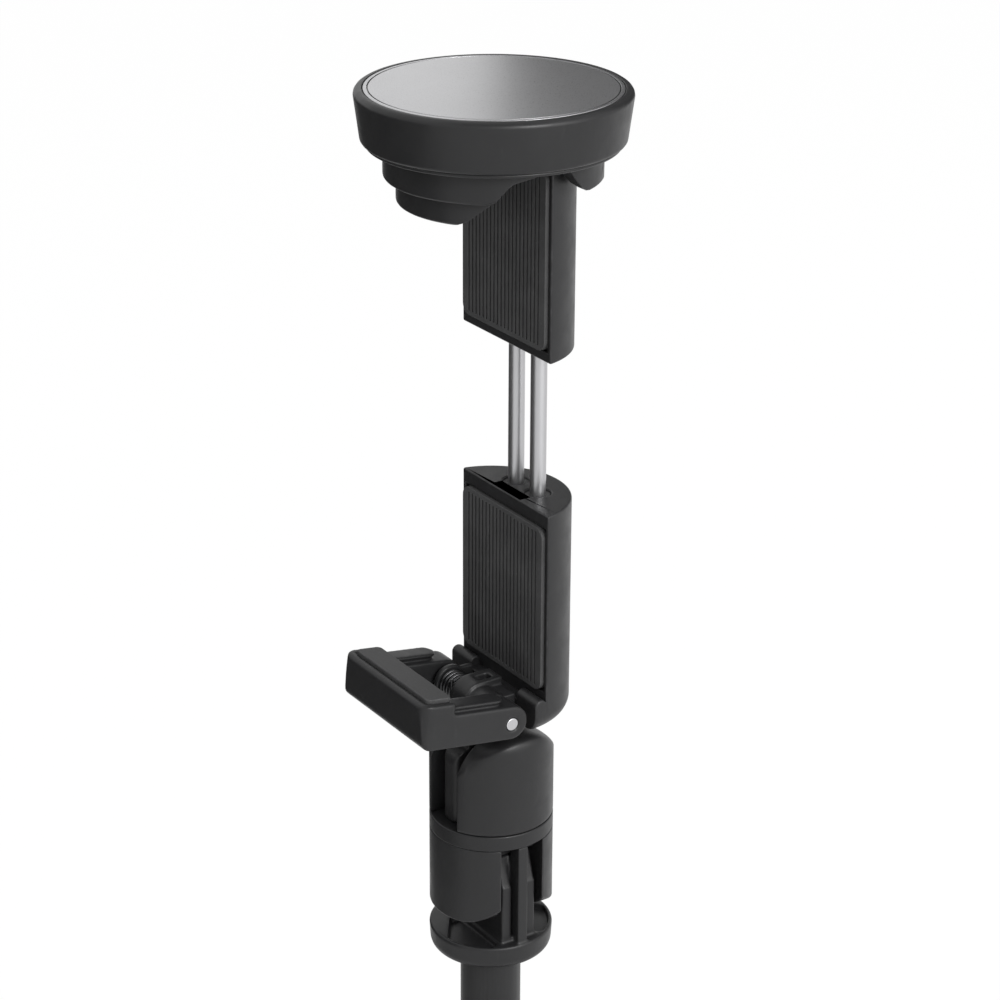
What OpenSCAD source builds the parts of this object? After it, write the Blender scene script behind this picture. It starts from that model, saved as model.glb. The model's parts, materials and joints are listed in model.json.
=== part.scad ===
// Selfie stick tripod: a magnetic disc and a phone clamp on a folding neck,
// a telescopic pole, a grip with a docked remote, and three folding legs.
// +Z is up, the clamp's pads face -Y, and the feet stand at z = 0.

/* [Magnetic disc] */
// Radius of the metal face
face_r = 27; // [24:0.5:32]
// Thickness of the metal face
face_t = 1; // [0.6:0.1:1.5]
// Wall of the rim round the face
rim_wall = 2; // [1.6:0.1:3]
// Height of the rim
rim_h = 11.1; // [10:0.1:14]
// How much the rim narrows towards its underside
rim_draft = 1.15; // [0:0.05:2]
// Thickness of the rim's floor
rim_floor = 2.2; // [1.6:0.1:3]
// Number of magnets in the ring
magnet_count = 16; // [8:1:20]
// Width of the magnet ring
magnet_w = 5.3; // [3:0.1:7]
// Thickness of the magnets
magnet_t = 2.8; // [1.5:0.1:3.5]
// Thickness of the steel ring under the magnets
shunt_t = 0.8; // [0.4:0.1:1.2]
// Depth of the lip under the rim
lip_h = 0.9; // [0.5:0.1:2]
// Radius of the step under the lip
step_r = 23.1; // [22.5:0.1:25]
// Depth of the step
step_h = 6.7; // [5.6:0.1:8]
// Radius of the jaw under the step
jaw_r = 20.4; // [19:0.1:22]
// Depth of the jaw under the step
jaw_h = 5.4; // [4:0.1:8]

/* [Phone clamp] */
// Radius of the clamp halves
clamp_r = 17.3; // [16.9:0.1:17.6]
// Distance of the clamp's front plane behind the pole axis
front_y = 3.2; // [2.8:0.1:4]
// Length of the upper clamp half
upper_len = 42.8; // [38:0.1:55]
// Length of the lower clamp half
lower_len = 51.3; // [46:0.1:65]
// Gap between the halves when the clamp is pulled fully open
clamp_gap = 34.5; // [20:0.1:34.5]
// Wall of the clamp shells
clamp_wall = 1.8; // [1.4:0.1:2.4]
// Thickness of the clamp shells' ends
clamp_end = 3; // [2:0.1:4]
// Width of the rubber pads
pad_w = 31.6; // [28:0.1:32]
// Thickness of the rubber pads
pad_t = 1.6; // [1.2:0.1:2]
// How far the pads stand out of the shells
pad_proud = 0.8; // [0.2:0.1:0.9]
// Corner radius of the pads
pad_corner = 2.5; // [1:0.1:4]
// Distance between the pads' ribs
rib_pitch = 1.4; // [1.2:0.1:2.5]
// Depth of the grooves between the ribs
rib_depth = 0.4; // [0.2:0.05:0.6]
// Radius of the guide rods
rod_r = 1.8; // [1.5:0.05:2]
// Distance between the guide rods
rod_spacing = 8.56; // [8:0.01:9.5]
// Distance of the guide rods behind the pole axis
rod_y = 9; // [8.8:0.1:9.6]

/* [Foot arm] */
// Width of the arm
arm_w = 34; // [32:0.1:36]
// Reach of the arm from its pin
arm_reach = 24; // [20:0.1:30]
// Width of each of the arm's legs
arm_leg_w = 6.5; // [5:0.1:7]
// Depth of the arm's front block along its reach
arm_block_d = 8.4; // [7:0.1:10]
// Height of the front block above the pin
arm_block_top = 6.9; // [6:0.1:7.5]
// Height of the legs above the pin
arm_leg_top = 4.2; // [3.8:0.1:4.6]
// Depth of the arm below the pin
arm_below = 3.7; // [3.2:0.1:4.2]
// Radius of the arm's pin
arm_pin_r = 1.45; // [1.2:0.05:1.9]
// Distance of the arm's pin in front of the pole axis
arm_pin_y = 5.55; // [5.3:0.05:6.5]
// Height of the arm's pin above the clamp's bottom
arm_pin_rise = 4.1; // [3.9:0.1:5]
// Upward tilt of the open arm
arm_tilt = 8; // [0:1:10]
// Wire diameter of the torsion spring
spring_wire = 0.7; // [0.5:0.05:0.8]
// Curls of the torsion spring
spring_turns = 4; // [3:1:5]
// Gap between neighbouring curls
spring_gap = 0.45; // [0.42:0.01:0.6]

/* [Neck] */
// Radius of the yokes and of the swivel band
neck_r = 14.1; // [13:0.1:15]
// Width of the slots in the yokes
slot_w = 11; // [9.5:0.1:12]
// Thickness of the tongues in the slots
tongue_w = 5.4; // [4:0.1:6]
// Radius of the two hinge pins
hinge_pin_r = 2; // [1.5:0.1:2.2]
// Height of the swivel band
band_h = 3.7; // [3:0.1:6]
// Height of the tilt pin above the band
tilt_rise = 9.4; // [9.2:0.1:11]
// Height of the swivel band above the neck pin
band_rise = 10.7; // [10.3:0.1:12]
// Depth of the lower yoke's cheeks below the neck pin
cheek_drop = 8.4; // [6:0.1:9]
// Thickness of the webs that the swivel bolt clamps
web_t = 2.8; // [2.6:0.1:3.2]
// Radius of the swivel bolt
swivel_r = 2; // [1.5:0.1:2.5]
// Radius of the pole's collar
collar_r = 14.2; // [13:0.1:16]
// Height of the collar
collar_h = 5.9; // [4:0.1:8]

/* [Pole] */
// Radius of the thinnest tube
pole_r = 7; // [6.5:0.1:7.2]
// Wall of the tubes
tube_wall = 0.5; // [0.4:0.05:0.6]
// Growth in radius from one tube to the next
tube_step = 1.1; // [1:0.05:1.2]
// Length of the thinnest tube that shows above the grip
pole_show = 29.4; // [22:0.1:60]
// Length of the friction sleeves
sleeve_h = 8; // [6:0.5:12]

/* [Grip and remote] */
// Radius of the grip
grip_r = 17.3; // [17:0.1:19]
// Length of the grip above the leg hub
grip_len = 136.4; // [125:0.1:170]
// Wall of the grip's shells
grip_wall = 2; // [1.6:0.1:2.4]
// Width of the remote
remote_w = 20; // [19:0.1:21]
// Length of the remote
remote_len = 46; // [44:0.5:60]
// How far the remote stands out of the grip
remote_proud = 1.8; // [1.6:0.1:2.4]
// Radius of the remote's button
button_r = 5; // [4:0.1:5.4]
// Travel of the remote's button
button_travel = 0.5; // [0.3:0.05:0.55]

/* [Legs] */
// Length of a leg from its pin to its end
leg_len = 140; // [100:1:180]
// Angle of the open legs from the vertical
leg_open = 50; // [40:1:55]
// Wall of the legs
leg_wall = 2; // [1.6:0.1:2.6]
// Half of the angle that a folded leg takes round the pole
leg_half = 57; // [50:0.5:57]
// Width of the leg's lug in the hub
lug_w = 9; // [7:0.1:9.4]
// Radius of the leg pins
leg_pin_r = 1.5; // [1.2:0.1:1.8]
// Length of the rubber feet on the legs
foot_len = 14; // [10:0.5:20]

/* [Hidden] */

$fn = 96;

// Fits and clearances
seat = 0.02;        // between pieces that are fixed to each other
run = 0.05;         // between a shaft and its bore
side = 0.1;         // between faces that slide past each other
free = 0.3;         // between moving pieces that never touch
cut = 1;            // how far a cutter runs past the surface it opens
small_fn = 32;      // facets of small round pieces

// Colours
c_plastic = [0.17, 0.17, 0.17];
c_rubber = [0.22, 0.22, 0.22];
c_steel = [0.75, 0.75, 0.76];
c_face = [0.55, 0.55, 0.57];
c_tube = [0.1, 0.1, 0.1];
c_brass = [0.72, 0.58, 0.3];
c_board = [0.1, 0.35, 0.2];

// Legs and hub
pin_rho = grip_r - 5.8;                 // distance of the leg pins from the pole axis
lug_r = 4.5;                            // rounded end of a leg's lug
flange_r = pin_rho - 2;                 // inner edge of a leg's side flanges
foot_skin = 0.4;                        // how far a rubber foot stands out of its leg
foot_over = 4;                          // how far a rubber foot runs past its leg
foot_flat = 1.2;                        // depth of the flat that the foot stands on
tip_len = leg_len + foot_over;
tip_drop = (pin_rho - (flange_r - foot_skin) * cos(leg_half)) * sin(leg_open);
pin_z = tip_len * cos(leg_open) + tip_drop - foot_flat;
hub_below = 3.5;                        // hub below the leg pins
hub_above = 8;                          // hub above the leg pins
shell_drop = 7.5;                       // top of a leg's shell below its pin
root_len = 12;                          // length of the solid root that carries a leg's lug
leg_azimuths = [90, 210, 330];
leg_tip_reach = pin_rho + (grip_r + foot_skin - pin_rho) * cos(leg_open) + tip_len * sin(leg_open);
leg_side_rho = pin_rho + ((grip_r + foot_skin) * cos(leg_half) - pin_rho) * cos(leg_open)
    + tip_len * sin(leg_open);
leg_side_reach = leg_side_rho / 2 + (grip_r + foot_skin) * sin(leg_half) * cos(30);
// The pole axis stands in front of the middle of the three feet
pole_y = -(leg_tip_reach - leg_side_reach) / 2;

// Heights from the floor up
grip_z = pin_z + hub_above;
grip_top = grip_z + grip_len;
collar_z = grip_top + pole_show;
collar_top = collar_z + collar_h;
neck_pin_z = collar_top + neck_r + free;
band_z = neck_pin_z + band_rise;
band_top = band_z + band_h;
yoke_z = band_top + side;
tilt_pin_z = yoke_z + tilt_rise - side;
tilt_cheek_r = neck_r - free;
clamp_rise = 16.5;                      // clamp's bottom above the tilt pin
clamp_z = tilt_pin_z + clamp_rise;
lower_top = clamp_z + lower_len;
upper_z = lower_top + clamp_gap;
upper_top = upper_z + upper_len;

// Disc hinge
disc_pin_r = 1.5;
knuckle_r = 3.2;
disc_hinge_y = clamp_r - knuckle_r - side;
disc_hinge_z = upper_top - 1.6;
rim_z = disc_hinge_z + knuckle_r + 0.7;
disc_z = rim_z + rim_h;
rim_r = face_r + rim_wall;
lip_z = rim_z - lip_h;
step_z = lip_z - step_h;
jaw_z = step_z - jaw_h;
disc_slot = clamp_r + free;             // half width of the disc's slot beside the clamp
ear_in = 15.2;                          // inner face of the ears at the hinge
knuckle_half = ear_in - 1.2;            // half length of the clamp's knuckle
ear_step_y = disc_hinge_y - 4;          // where the slot narrows to the ears

// Clamp details
pad_back_y = front_y - pad_proud + pad_t;
plate_t = 1.7;                          // thickness of the plates behind the pads
plate_w = pad_w - 2;
pad_end = 2.4;                          // margin of the shell past a pad's end
chin_h = 8;                             // height of the lower shell's chin
chin_y = 0.3;                           // front face of the chin behind the pole axis
bush_len = 10;
bush_r = 2.9;
stop_h = 1.1;
stop_r = 3;
rod_end = lower_top - bush_len - free - stop_h - 1;
rod_seat = 32;                          // length of the rods inside the upper half
rod_x = rod_spacing / 2;
upper_pad_z = upper_z + pad_end;
upper_pad_h = upper_len - pad_end - 1.1;
lower_pad_z = clamp_z + chin_h + 1.3;
lower_pad_h = lower_len - chin_h - 1.3 - 3.4;

// Neck details
slot = slot_w / 2;
boss_r = 5.8;
boss_half = slot - 1.1;
tongue = tongue_w / 2;
upper_web_z = yoke_z + web_t;
tilt_tongue_r = tilt_pin_z - upper_web_z - free;
lower_web_z = band_z - web_t - 0.8;
neck_tongue_r = lower_web_z - neck_pin_z - free;

// Pole details
tube_r = [for (i = [0 : 3]) pole_r + i * tube_step];
tube_top_step = 0.6;                    // each thinner tube stands this much higher
tube_low_step = 2;                      // each thinner tube ends this much higher
tube_base = grip_z + 2;
lip_len = 3;
pull = 28;                              // how far the thinnest tube is pulled out at rest
bore_r = tube_r[3] + seat;

// Grip and remote details
ring_h = 6;
remote_back = tube_r[3] + 2.3;
remote_drop = 24;                       // remote's end below the grip's ring
remote_z = grip_top - ring_h - remote_drop - remote_len;
dock_wall = 1.5;
button_z = remote_z + 0.72 * remote_len;
cell_z = remote_z + 0.3 * remote_len;
cell_r = 6.25;
cell_t = 2;
lid_wall = 1.1;
base_t = 0.9;
board_t = 0.6;
board_w = 13.6;
board_end = 3;                          // margin of the board at the remote's ends

// Shapes that repeat

// A cylinder along X, centred
module bar_x(r, l) {
    rotate([0, 90, 0]) cylinder(r = r, h = l, center = true);
}

// A cylinder along Y, centred
module bar_y(r, l) {
    rotate([90, 0, 0]) cylinder(r = r, h = l, center = true);
}

// Extrudes a Y-Z outline along X, centred
module along_x(l) {
    translate([-l / 2, 0, 0]) rotate([90, 0, 90]) linear_extrude(l) children();
}

// Extrudes an X-Z outline along Y, centred
module along_y(l) {
    translate([0, l / 2, 0]) rotate([90, 0, 0]) linear_extrude(l) children();
}

// A box from one corner to the other
module span(low, high) {
    translate(low) cube(high - low);
}

// A ring about Z
module ring(outer, inner, h) {
    difference() {
        cylinder(r = outer, h = h);
        translate([0, 0, -cut]) cylinder(r = inner, h = h + 2 * cut);
    }
}

// A rectangle with round corners, from its lower left corner
module rounded_rect(w, h, r) {
    translate([r, 0]) square([w - 2 * r, h]);
    translate([0, r]) square([w, h - 2 * r]);
    for (x = [r, w - r], y = [r, h - r]) translate([x, y]) circle(r, $fn = small_fn);
}

// A wedge of a flat disc, from the pole axis outwards along +X
module wedge(half, reach) {
    polygon([[0, 0], [reach, -reach * tan(half)], [reach, reach * tan(half)]]);
}

// Points of an outline's round corner, from one angle to another
function corner(x, y, r, from, to) =
    [for (k = [0 : 4]) let (a = from + (to - from) * k / 4) [x + r * cos(a), y + r * sin(a)]];

// A turned disc with round lower and upper edges
module turned(r, h, low, high) {
    rotate_extrude() polygon(concat(
        [[0, 0]],
        low > 0 ? corner(r - low, low, low, -90, 0) : [[r, 0]],
        high > 0 ? corner(r - high, h - high, high, 0, 90) : [[r, h]],
        [[0, h]]
    ));
}

// Children placed on the pole axis at a height
module at(z = 0) {
    translate([0, pole_y, z]) children();
}

// Magnetic disc

face_gap = 0.15;
rim_edge = 1.4;
rim_in = face_r + face_gap;
rim_low_r = rim_r - rim_draft;
rim_low_edge = 1;
carrier_z = rim_floor;
carrier_top = rim_h - face_t - run;
magnet_out = face_r - 1.1;
magnet_z = carrier_top - magnet_t;
shunt_z = magnet_z - shunt_t - seat;

module face_plate() color(c_face) at(disc_z - face_t) cylinder(r = face_r, h = face_t);

// Outline of the rim: narrowing wall, rounded top and bottom edges
rim_outline = concat(
    [[0, 0]],
    corner(rim_low_r - rim_low_edge, rim_low_edge, rim_low_edge, -90, 0),
    corner(rim_r - rim_edge, rim_h - rim_edge, rim_edge, 0, 90),
    [[rim_in, rim_h], [rim_in, rim_floor], [0, rim_floor]]
);

screw_ring_r = 15;
disc_screw_r = 1.2;
disc_screw_head = 2.2;
disc_screw_sites = [[-screw_ring_r, -12], [0, -19], [screw_ring_r, -12]];

module rim() {
    color(c_plastic) at(rim_z) difference() {
        rotate_extrude() polygon(rim_outline);
        for (p = disc_screw_sites) translate([p.x, p.y, -cut])
            cylinder(r = disc_screw_r + run, h = rim_floor + 2 * cut, $fn = small_fn);
    }
}

module magnet_carrier() {
    color(c_plastic) at(rim_z + carrier_z) difference() {
        cylinder(r = rim_in - seat, h = carrier_top - carrier_z);
        translate([0, 0, shunt_z - carrier_z - seat])
            ring(magnet_out + seat, magnet_out - magnet_w - seat, carrier_top);
        for (p = disc_screw_sites) translate([p.x, p.y, -cut])
            cylinder(r = disc_screw_head + free, h = disc_screw_head + cut, $fn = small_fn);
    }
}

module magnets() {
    step = 360 / magnet_count;
    color(c_steel) at(rim_z + magnet_z) linear_extrude(magnet_t) difference() {
        intersection() {
            circle(magnet_out);
            union() for (i = [0 : magnet_count - 1]) rotate(i * step) wedge(step / 2 - 1, 2 * face_r);
        }
        circle(magnet_out - magnet_w);
    }
}

module shunt_ring() {
    color(c_steel) at(rim_z + shunt_z) ring(magnet_out, magnet_out - magnet_w, shunt_t);
}

tier_edge = 0.8;
jaw_top = jaw_h + step_h;

// Outline that the curved jaw leaves free, as shares of the jaw's radius and depth: it rises
// from the jaw's edge, steps back where the wider tier begins, runs over the phone and the
// clamp, and comes down again at the ears
jaw_gap_shares = [
    [-0.814, -0.083], [-0.804, -0.017], [-0.779, 0.041], [-0.735, 0.1], [-0.665, 0.222], [-0.618, 0.305],
    [-0.569, 0.38], [-0.52, 0.446], [-0.667, 0.446], [-0.593, 0.512], [-0.544, 0.62], [-0.48, 0.752],
    [-0.436, 0.81], [-0.324, 0.86], [-0.221, 0.9], [-0.157, 1], [0.137, 1], [0.176, 0.9],
    [0.216, 0.826], [0.265, 0.711], [0.343, 0.579], [0.431, 0.479], [0.51, 0.446], [0.51, -0.083]
];
jaw_gap_outline = [for (p = jaw_gap_shares) [p.x * jaw_r, p.y * jaw_top]];

module disc_slot_cut() {
    depth = disc_z - jaw_z;
    span([-disc_slot, front_y - pad_proud - free, -cut], [disc_slot, ear_step_y, depth]);
    span([-ear_in, ear_step_y - cut, -cut], [ear_in, 2 * rim_r, depth]);
}

module disc_back() {
    color(c_plastic) at(jaw_z) difference() {
        union() {
            difference() {
                union() {
                    translate([0, 0, jaw_h]) turned(step_r, step_h, tier_edge, 0);
                    intersection() {
                        turned(jaw_r, jaw_h + cut, tier_edge, 0);
                        span([-jaw_r, -jaw_r, 0], [jaw_r, 0, jaw_h + cut]);
                    }
                }
                along_x(3 * jaw_r) polygon(jaw_gap_outline);
            }
            translate([0, 0, jaw_top]) turned(rim_low_r - rim_low_edge - side, lip_h, lip_h / 2, 0);
        }
        disc_slot_cut();
        translate([0, disc_hinge_y, disc_hinge_z - jaw_z]) bar_x(disc_pin_r + seat, disc_pin_len);
        translate([-disc_slot, disc_hinge_y, disc_hinge_z - jaw_z]) bar_x(disc_pin_r + seat, disc_slot);
        for (p = disc_screw_sites) translate([p.x, p.y, jaw_top - disc_screw_len + rim_floor])
            cylinder(r = disc_screw_r, h = disc_screw_len + cut, $fn = small_fn);
    }
}

disc_screw_len = 5;

module screw_down(r, head_r, head_h, l) {
    translate([0, 0, -l]) cylinder(r = r, h = l + head_h / 2, $fn = small_fn);
    difference() {
        cylinder(r = head_r, h = head_h, $fn = small_fn);
        translate([0, 0, head_h / 2]) cylinder(r = head_r / 2, h = head_h, $fn = 6);
    }
}

module disc_screws() {
    color(c_steel) at(rim_z + rim_floor) for (p = disc_screw_sites) translate([p.x, p.y, 0])
        screw_down(disc_screw_r - seat, disc_screw_head, disc_screw_head - run, disc_screw_len);
}

disc_pin_len = 2 * (ear_in + 2);

module disc_hinge_pin() {
    color(c_steel) at(disc_hinge_z) translate([0, disc_hinge_y, 0]) bar_x(disc_pin_r, disc_pin_len - side);
}

module disc_washers() {
    t = ear_in - knuckle_half - 2 * side;
    color(c_steel) at(disc_hinge_z) for (s = [-1, 1])
        translate([s * (knuckle_half + ear_in) / 2, disc_hinge_y, 0]) difference() {
            bar_x(knuckle_r - side, t);
            bar_x(disc_pin_r + run, t + cut);
        }
}

// Phone clamp

// The half-round section that both clamp halves share
module clamp_section(r, y) {
    intersection() {
        circle(r);
        translate([-2 * r, y]) square([4 * r, 2 * r]);
    }
}

module pad_recess(z, h) {
    translate([-pad_w / 2 - seat, front_y - pad_proud - cut, z - seat])
        cube([pad_w + 2 * seat, pad_t + cut, h + 2 * seat]);
}

rib_margin = 2.2;                       // plain strip at the sides of a pad
rib_end = 1.1;                          // plain strip at the ends of a pad

// A pad with vertical grooves, its back at y = pad_back_y
module ribbed_pad(z, h) {
    grooves = floor((pad_w - 2 * rib_margin) / rib_pitch);
    groove_w = rib_pitch / 3;
    color(c_rubber) at(z) difference() {
        translate([-pad_w / 2, pad_back_y, 0]) rotate([90, 0, 0])
            linear_extrude(pad_t) rounded_rect(pad_w, h, pad_corner);
        for (i = [0 : grooves])
            translate([(i - grooves / 2) * rib_pitch - groove_w / 2, front_y - pad_proud - cut, rib_end])
                cube([groove_w, rib_depth + cut, h - 2 * rib_end]);
    }
}

module back_plate(z, h) {
    color(c_plastic) at(z) translate([-plate_w / 2, pad_back_y, 1])
        cube([plate_w, plate_t, h - 2]);
}

module plate_recess(z, h) {
    translate([-plate_w / 2 - seat, pad_back_y - cut, z + 1 - seat])
        cube([plate_w + 2 * seat, plate_t + cut, h - 2 + 2 * seat]);
}

clamp_in_y = pad_back_y + plate_t;

module clamp_hollow(z, h) {
    translate([0, 0, z]) linear_extrude(h) intersection() {
        clamp_section(clamp_r - clamp_wall, clamp_in_y - cut);
        translate([-plate_w / 2 + 1, 0]) square([plate_w - 2, 2 * clamp_r]);
    }
}

module rod_holes(r, z, h) {
    for (x = [-rod_x, rod_x]) translate([x, rod_y, z]) cylinder(r = r, h = h, $fn = 64);
}

module upper_clamp_shell() {
    hollow_z = clamp_end;
    hollow_h = upper_len - clamp_end - 6.6;
    color(c_plastic) at(upper_z) difference() {
        union() {
            difference() {
                linear_extrude(upper_len) clamp_section(clamp_r, front_y);
                clamp_hollow(hollow_z, hollow_h);
            }
            span([-rod_x - 4, clamp_in_y, cut], [rod_x + 4, rod_y + 4, rod_seat + 2]);
            translate([0, disc_hinge_y, disc_hinge_z - upper_z]) bar_x(knuckle_r, 2 * knuckle_half);
        }
        rod_holes(rod_r + seat, -cut, rod_seat + cut);
        pad_recess(upper_pad_z - upper_z, upper_pad_h);
        plate_recess(upper_pad_z - upper_z, upper_pad_h);
        translate([0, disc_hinge_y, disc_hinge_z - upper_z]) bar_x(disc_pin_r + run, 4 * knuckle_half);
    }
}

module upper_clamp_plate() back_plate(upper_pad_z, upper_pad_h);

module upper_pad() ribbed_pad(upper_pad_z, upper_pad_h);

module guide_rods() {
    color(c_steel) at() rod_holes(rod_r, rod_end, upper_z + rod_seat - side - rod_end);
}

module rod_stops() {
    color(c_steel) at() difference() {
        rod_holes(stop_r, rod_end + 1, stop_h);
        rod_holes(rod_r + seat, rod_end, 2 * stop_h + 1);
    }
}

edge_r = 4;                             // rounding of the lower shell's bottom edge
bead_r = 1.5;                           // rounding of the chin's ridge
bead_dip = 2.4;                         // depth of the dip in the ridge
slot_len = 10.5;                        // slot in the lower shell's top, in front of the rods

module lower_clamp_shell() {
    floor_t = 4;
    color(c_plastic) at(clamp_z) difference() {
        union() {
            difference() {
                intersection() {
                    rotate_extrude() {
                        translate([0, edge_r]) square([clamp_r, lower_len - edge_r]);
                        square([clamp_r - edge_r, lower_len]);
                        translate([clamp_r - edge_r, edge_r]) circle(edge_r, $fn = 64);
                    }
                    union() {
                        span([-2 * clamp_r, front_y, -cut], [2 * clamp_r, 2 * clamp_r, lower_len + cut]);
                        // The chin steps forward below the pad, and its ridge is a round bead
                        along_x(4 * clamp_r) {
                            translate([chin_y, -cut]) square([front_y - chin_y + cut, chin_h - bead_r + cut]);
                            translate([chin_y + bead_r, 0]) square([bead_r, chin_h - bead_r / 2]);
                            translate([chin_y + bead_r, chin_h - bead_r]) circle(bead_r, $fn = small_fn);
                        }
                    }
                }
                clamp_hollow(floor_t, lower_len - floor_t - clamp_end);
                // The bead stops either side of the hinge block's web
                span([-knuckle_out, chin_y - cut, chin_h - bead_dip], [knuckle_out, front_y, chin_h + cut]);
            }
            span([-rod_x - 4, clamp_in_y, lower_len - bush_len], [rod_x + 4, rod_y + 4, lower_len - cut]);
        }
        rod_holes(bush_r + seat, lower_len - bush_len - cut, bush_len + 2 * cut);
        pad_recess(lower_pad_z - clamp_z, lower_pad_h);
        plate_recess(lower_pad_z - clamp_z, lower_pad_h);
        span([-slot_len / 2, clamp_in_y - 1.8, lower_len - 1.4], [slot_len / 2, clamp_in_y, lower_len + cut]);
        for (x = [-hinge_screw_x, hinge_screw_x]) translate([x, hinge_screw_y, 0]) {
            translate([0, 0, -cut]) cylinder(r = hinge_screw_r + run, h = floor_t + 2 * cut, $fn = small_fn);
            translate([0, 0, hinge_head_z]) cylinder(r = hinge_head_r + side, h = floor_t, $fn = small_fn);
        }
    }
}

module lower_clamp_plate() back_plate(lower_pad_z, lower_pad_h);

module lower_pad() ribbed_pad(lower_pad_z, lower_pad_h);

brake_h = 2;
brake_z = lower_top - brake_h - 0.5;

module rod_bushes() {
    color(c_plastic) at() difference() {
        rod_holes(bush_r, lower_top - bush_len, brake_z - seat - lower_top + bush_len);
        rod_holes(rod_r + run, lower_top - bush_len - cut, bush_len + 2 * cut);
    }
}

// Rubber rings over the bushes, which drag on the rods as the clamp slides
module rod_brake() {
    color(c_rubber) at() difference() {
        rod_holes(bush_r, brake_z, brake_h);
        rod_holes(rod_r + seat, brake_z - cut, brake_h + 2 * cut);
    }
}

// Hinge block under the clamp

hinge_screw_r = 1.1;
hinge_head_r = 2;
hinge_head_z = 2.6;
hinge_screw_x = 4;
hinge_screw_y = 9.5;
knuckle_out = 9.4;                      // outer face of the arm knuckles
arm_knuckle_r = 4;
spring_r = 3.1;                         // radius of the torsion spring's wire line
spring_len = spring_turns * (spring_wire + spring_gap);
spring_x0 = -knuckle_out + 1.6;         // left end of the torsion spring
spring_x1 = spring_x0 + spring_len + spring_wire;
arm_z = clamp_z + arm_pin_rise;
lug_h = 4.9;                            // height of the raised lug over the pin
lug_len = 5.4;
lug_x = 1.4;                            // middle of the lug
root_half = 8;                          // half width of the block under the clamp
tongue_front = 11.4;                    // front face of the tilt tongue
finger_d = 3.6;                         // depth of the tongue's round front finger
finger_round = 1.5;                     // rounding of the finger's upright edges
finger_up = 8.8;                        // how far the finger stands above the pin
finger_down = tilt_rise - free;         // how far the finger hangs below the pin
tongue_neck = tongue_front - finger_d;  // front face of the tongue behind its finger

module at_arm_pin() {
    at(arm_z) translate([0, -arm_pin_y, 0]) children();
}

module hinge_block() {
    root_z = clamp_z - 1.9;
    color(c_plastic) difference() {
        union() {
            // Plate that is screwed to the clamp's underside
            at(root_z) span([-root_half, -arm_pin_y, 0], [root_half, 11.5, 1.9]);
            // Knuckles round the arm's pin and their web back to the chin
            at_arm_pin() for (x = [[-knuckle_out, spring_x0 - side], [spring_x1 + side, knuckle_out]])
                translate([(x[0] + x[1]) / 2, 0, 0]) bar_x(arm_knuckle_r, x[1] - x[0]);
            at_arm_pin() for (x = [[-knuckle_out, spring_x0 - side], [spring_x1 + side, knuckle_out]])
                span([x[0], 0, clamp_z - 1.9 - arm_z], [x[1], arm_pin_y + chin_y - side, 3]);
            // Raised lug over the pin, with a slot, running back to the chin
            at_arm_pin() difference() {
                translate([lug_x, 0, 0]) along_x(lug_len) {
                    circle(lug_h);
                    square([arm_pin_y + chin_y - side, lug_h]);
                }
                span([lug_x - 1, 0.4, arm_pin_r + 1.2], [lug_x + 1.3, arm_pin_y - 1.6, 2 * lug_h]);
            }
            // Tongue in the upper yoke: round behind, straight in front
            at(tilt_pin_z) along_x(tongue_w) {
                circle(tilt_tongue_r);
                square([tilt_tongue_r, root_z - tilt_pin_z + cut]);
                translate([-tongue_neck, 0]) square([tongue_neck, root_z - tilt_pin_z + cut]);
                translate([-tongue_neck - cut, 0]) square([2 * cut, finger_up - finger_d]);
            }
            // Finger in front of the tongue, round at its top and along its edges
            at(tilt_pin_z) intersection() {
                along_x(tongue_w) {
                    translate([-tongue_front, -finger_down])
                        square([finger_d, finger_down + finger_up - finger_d]);
                    translate([-tongue_neck, finger_up - finger_d]) circle(finger_d, $fn = 48);
                }
                translate([-tongue_w / 2, -tongue_front, -2 * finger_down]) linear_extrude(4 * finger_down)
                    rounded_rect(tongue_w, 2 * finger_d, finger_round);
            }
            at(tilt_pin_z) bar_x(boss_r - 0.8, 2 * boss_half);
        }
        at(tilt_pin_z) bar_x(hinge_pin_r + run, slot_w);
        at_arm_pin() bar_x(arm_pin_r + run, 4 * knuckle_out);
        at_arm_pin() span([spring_x0 - side, -arm_knuckle_r - cut, -arm_knuckle_r - cut],
            [spring_x1 + side, 4.2, 1.2]);
        at() for (x = [-hinge_screw_x, hinge_screw_x]) translate([x, hinge_screw_y, root_z + side])
            cylinder(r = hinge_screw_r, h = 3 * cut, $fn = small_fn);
    }
}

module hinge_screws() {
    color(c_steel) at(clamp_z + hinge_head_z) for (x = [-hinge_screw_x, hinge_screw_x])
        translate([x, hinge_screw_y, 0])
            screw_down(hinge_screw_r - seat, hinge_head_r, 1.2, hinge_head_z + 1.7);
}

// Foot arm, drawn level and then tilted about its pin

module in_arm() {
    at_arm_pin() rotate([-arm_tilt, 0, 0]) children();
}

arm_in = arm_w / 2 - arm_leg_w;         // inner faces of the arm's legs
block_back = arm_reach - arm_block_d;
pad_in = 1.9;                           // margin of the arm's rubber pad at the sides
arm_corner = 3;
front_edge = 1.2;                       // rounding of the block's upper front edge
low_edge = 2.2;                         // rounding of the block's lower front edge

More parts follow.
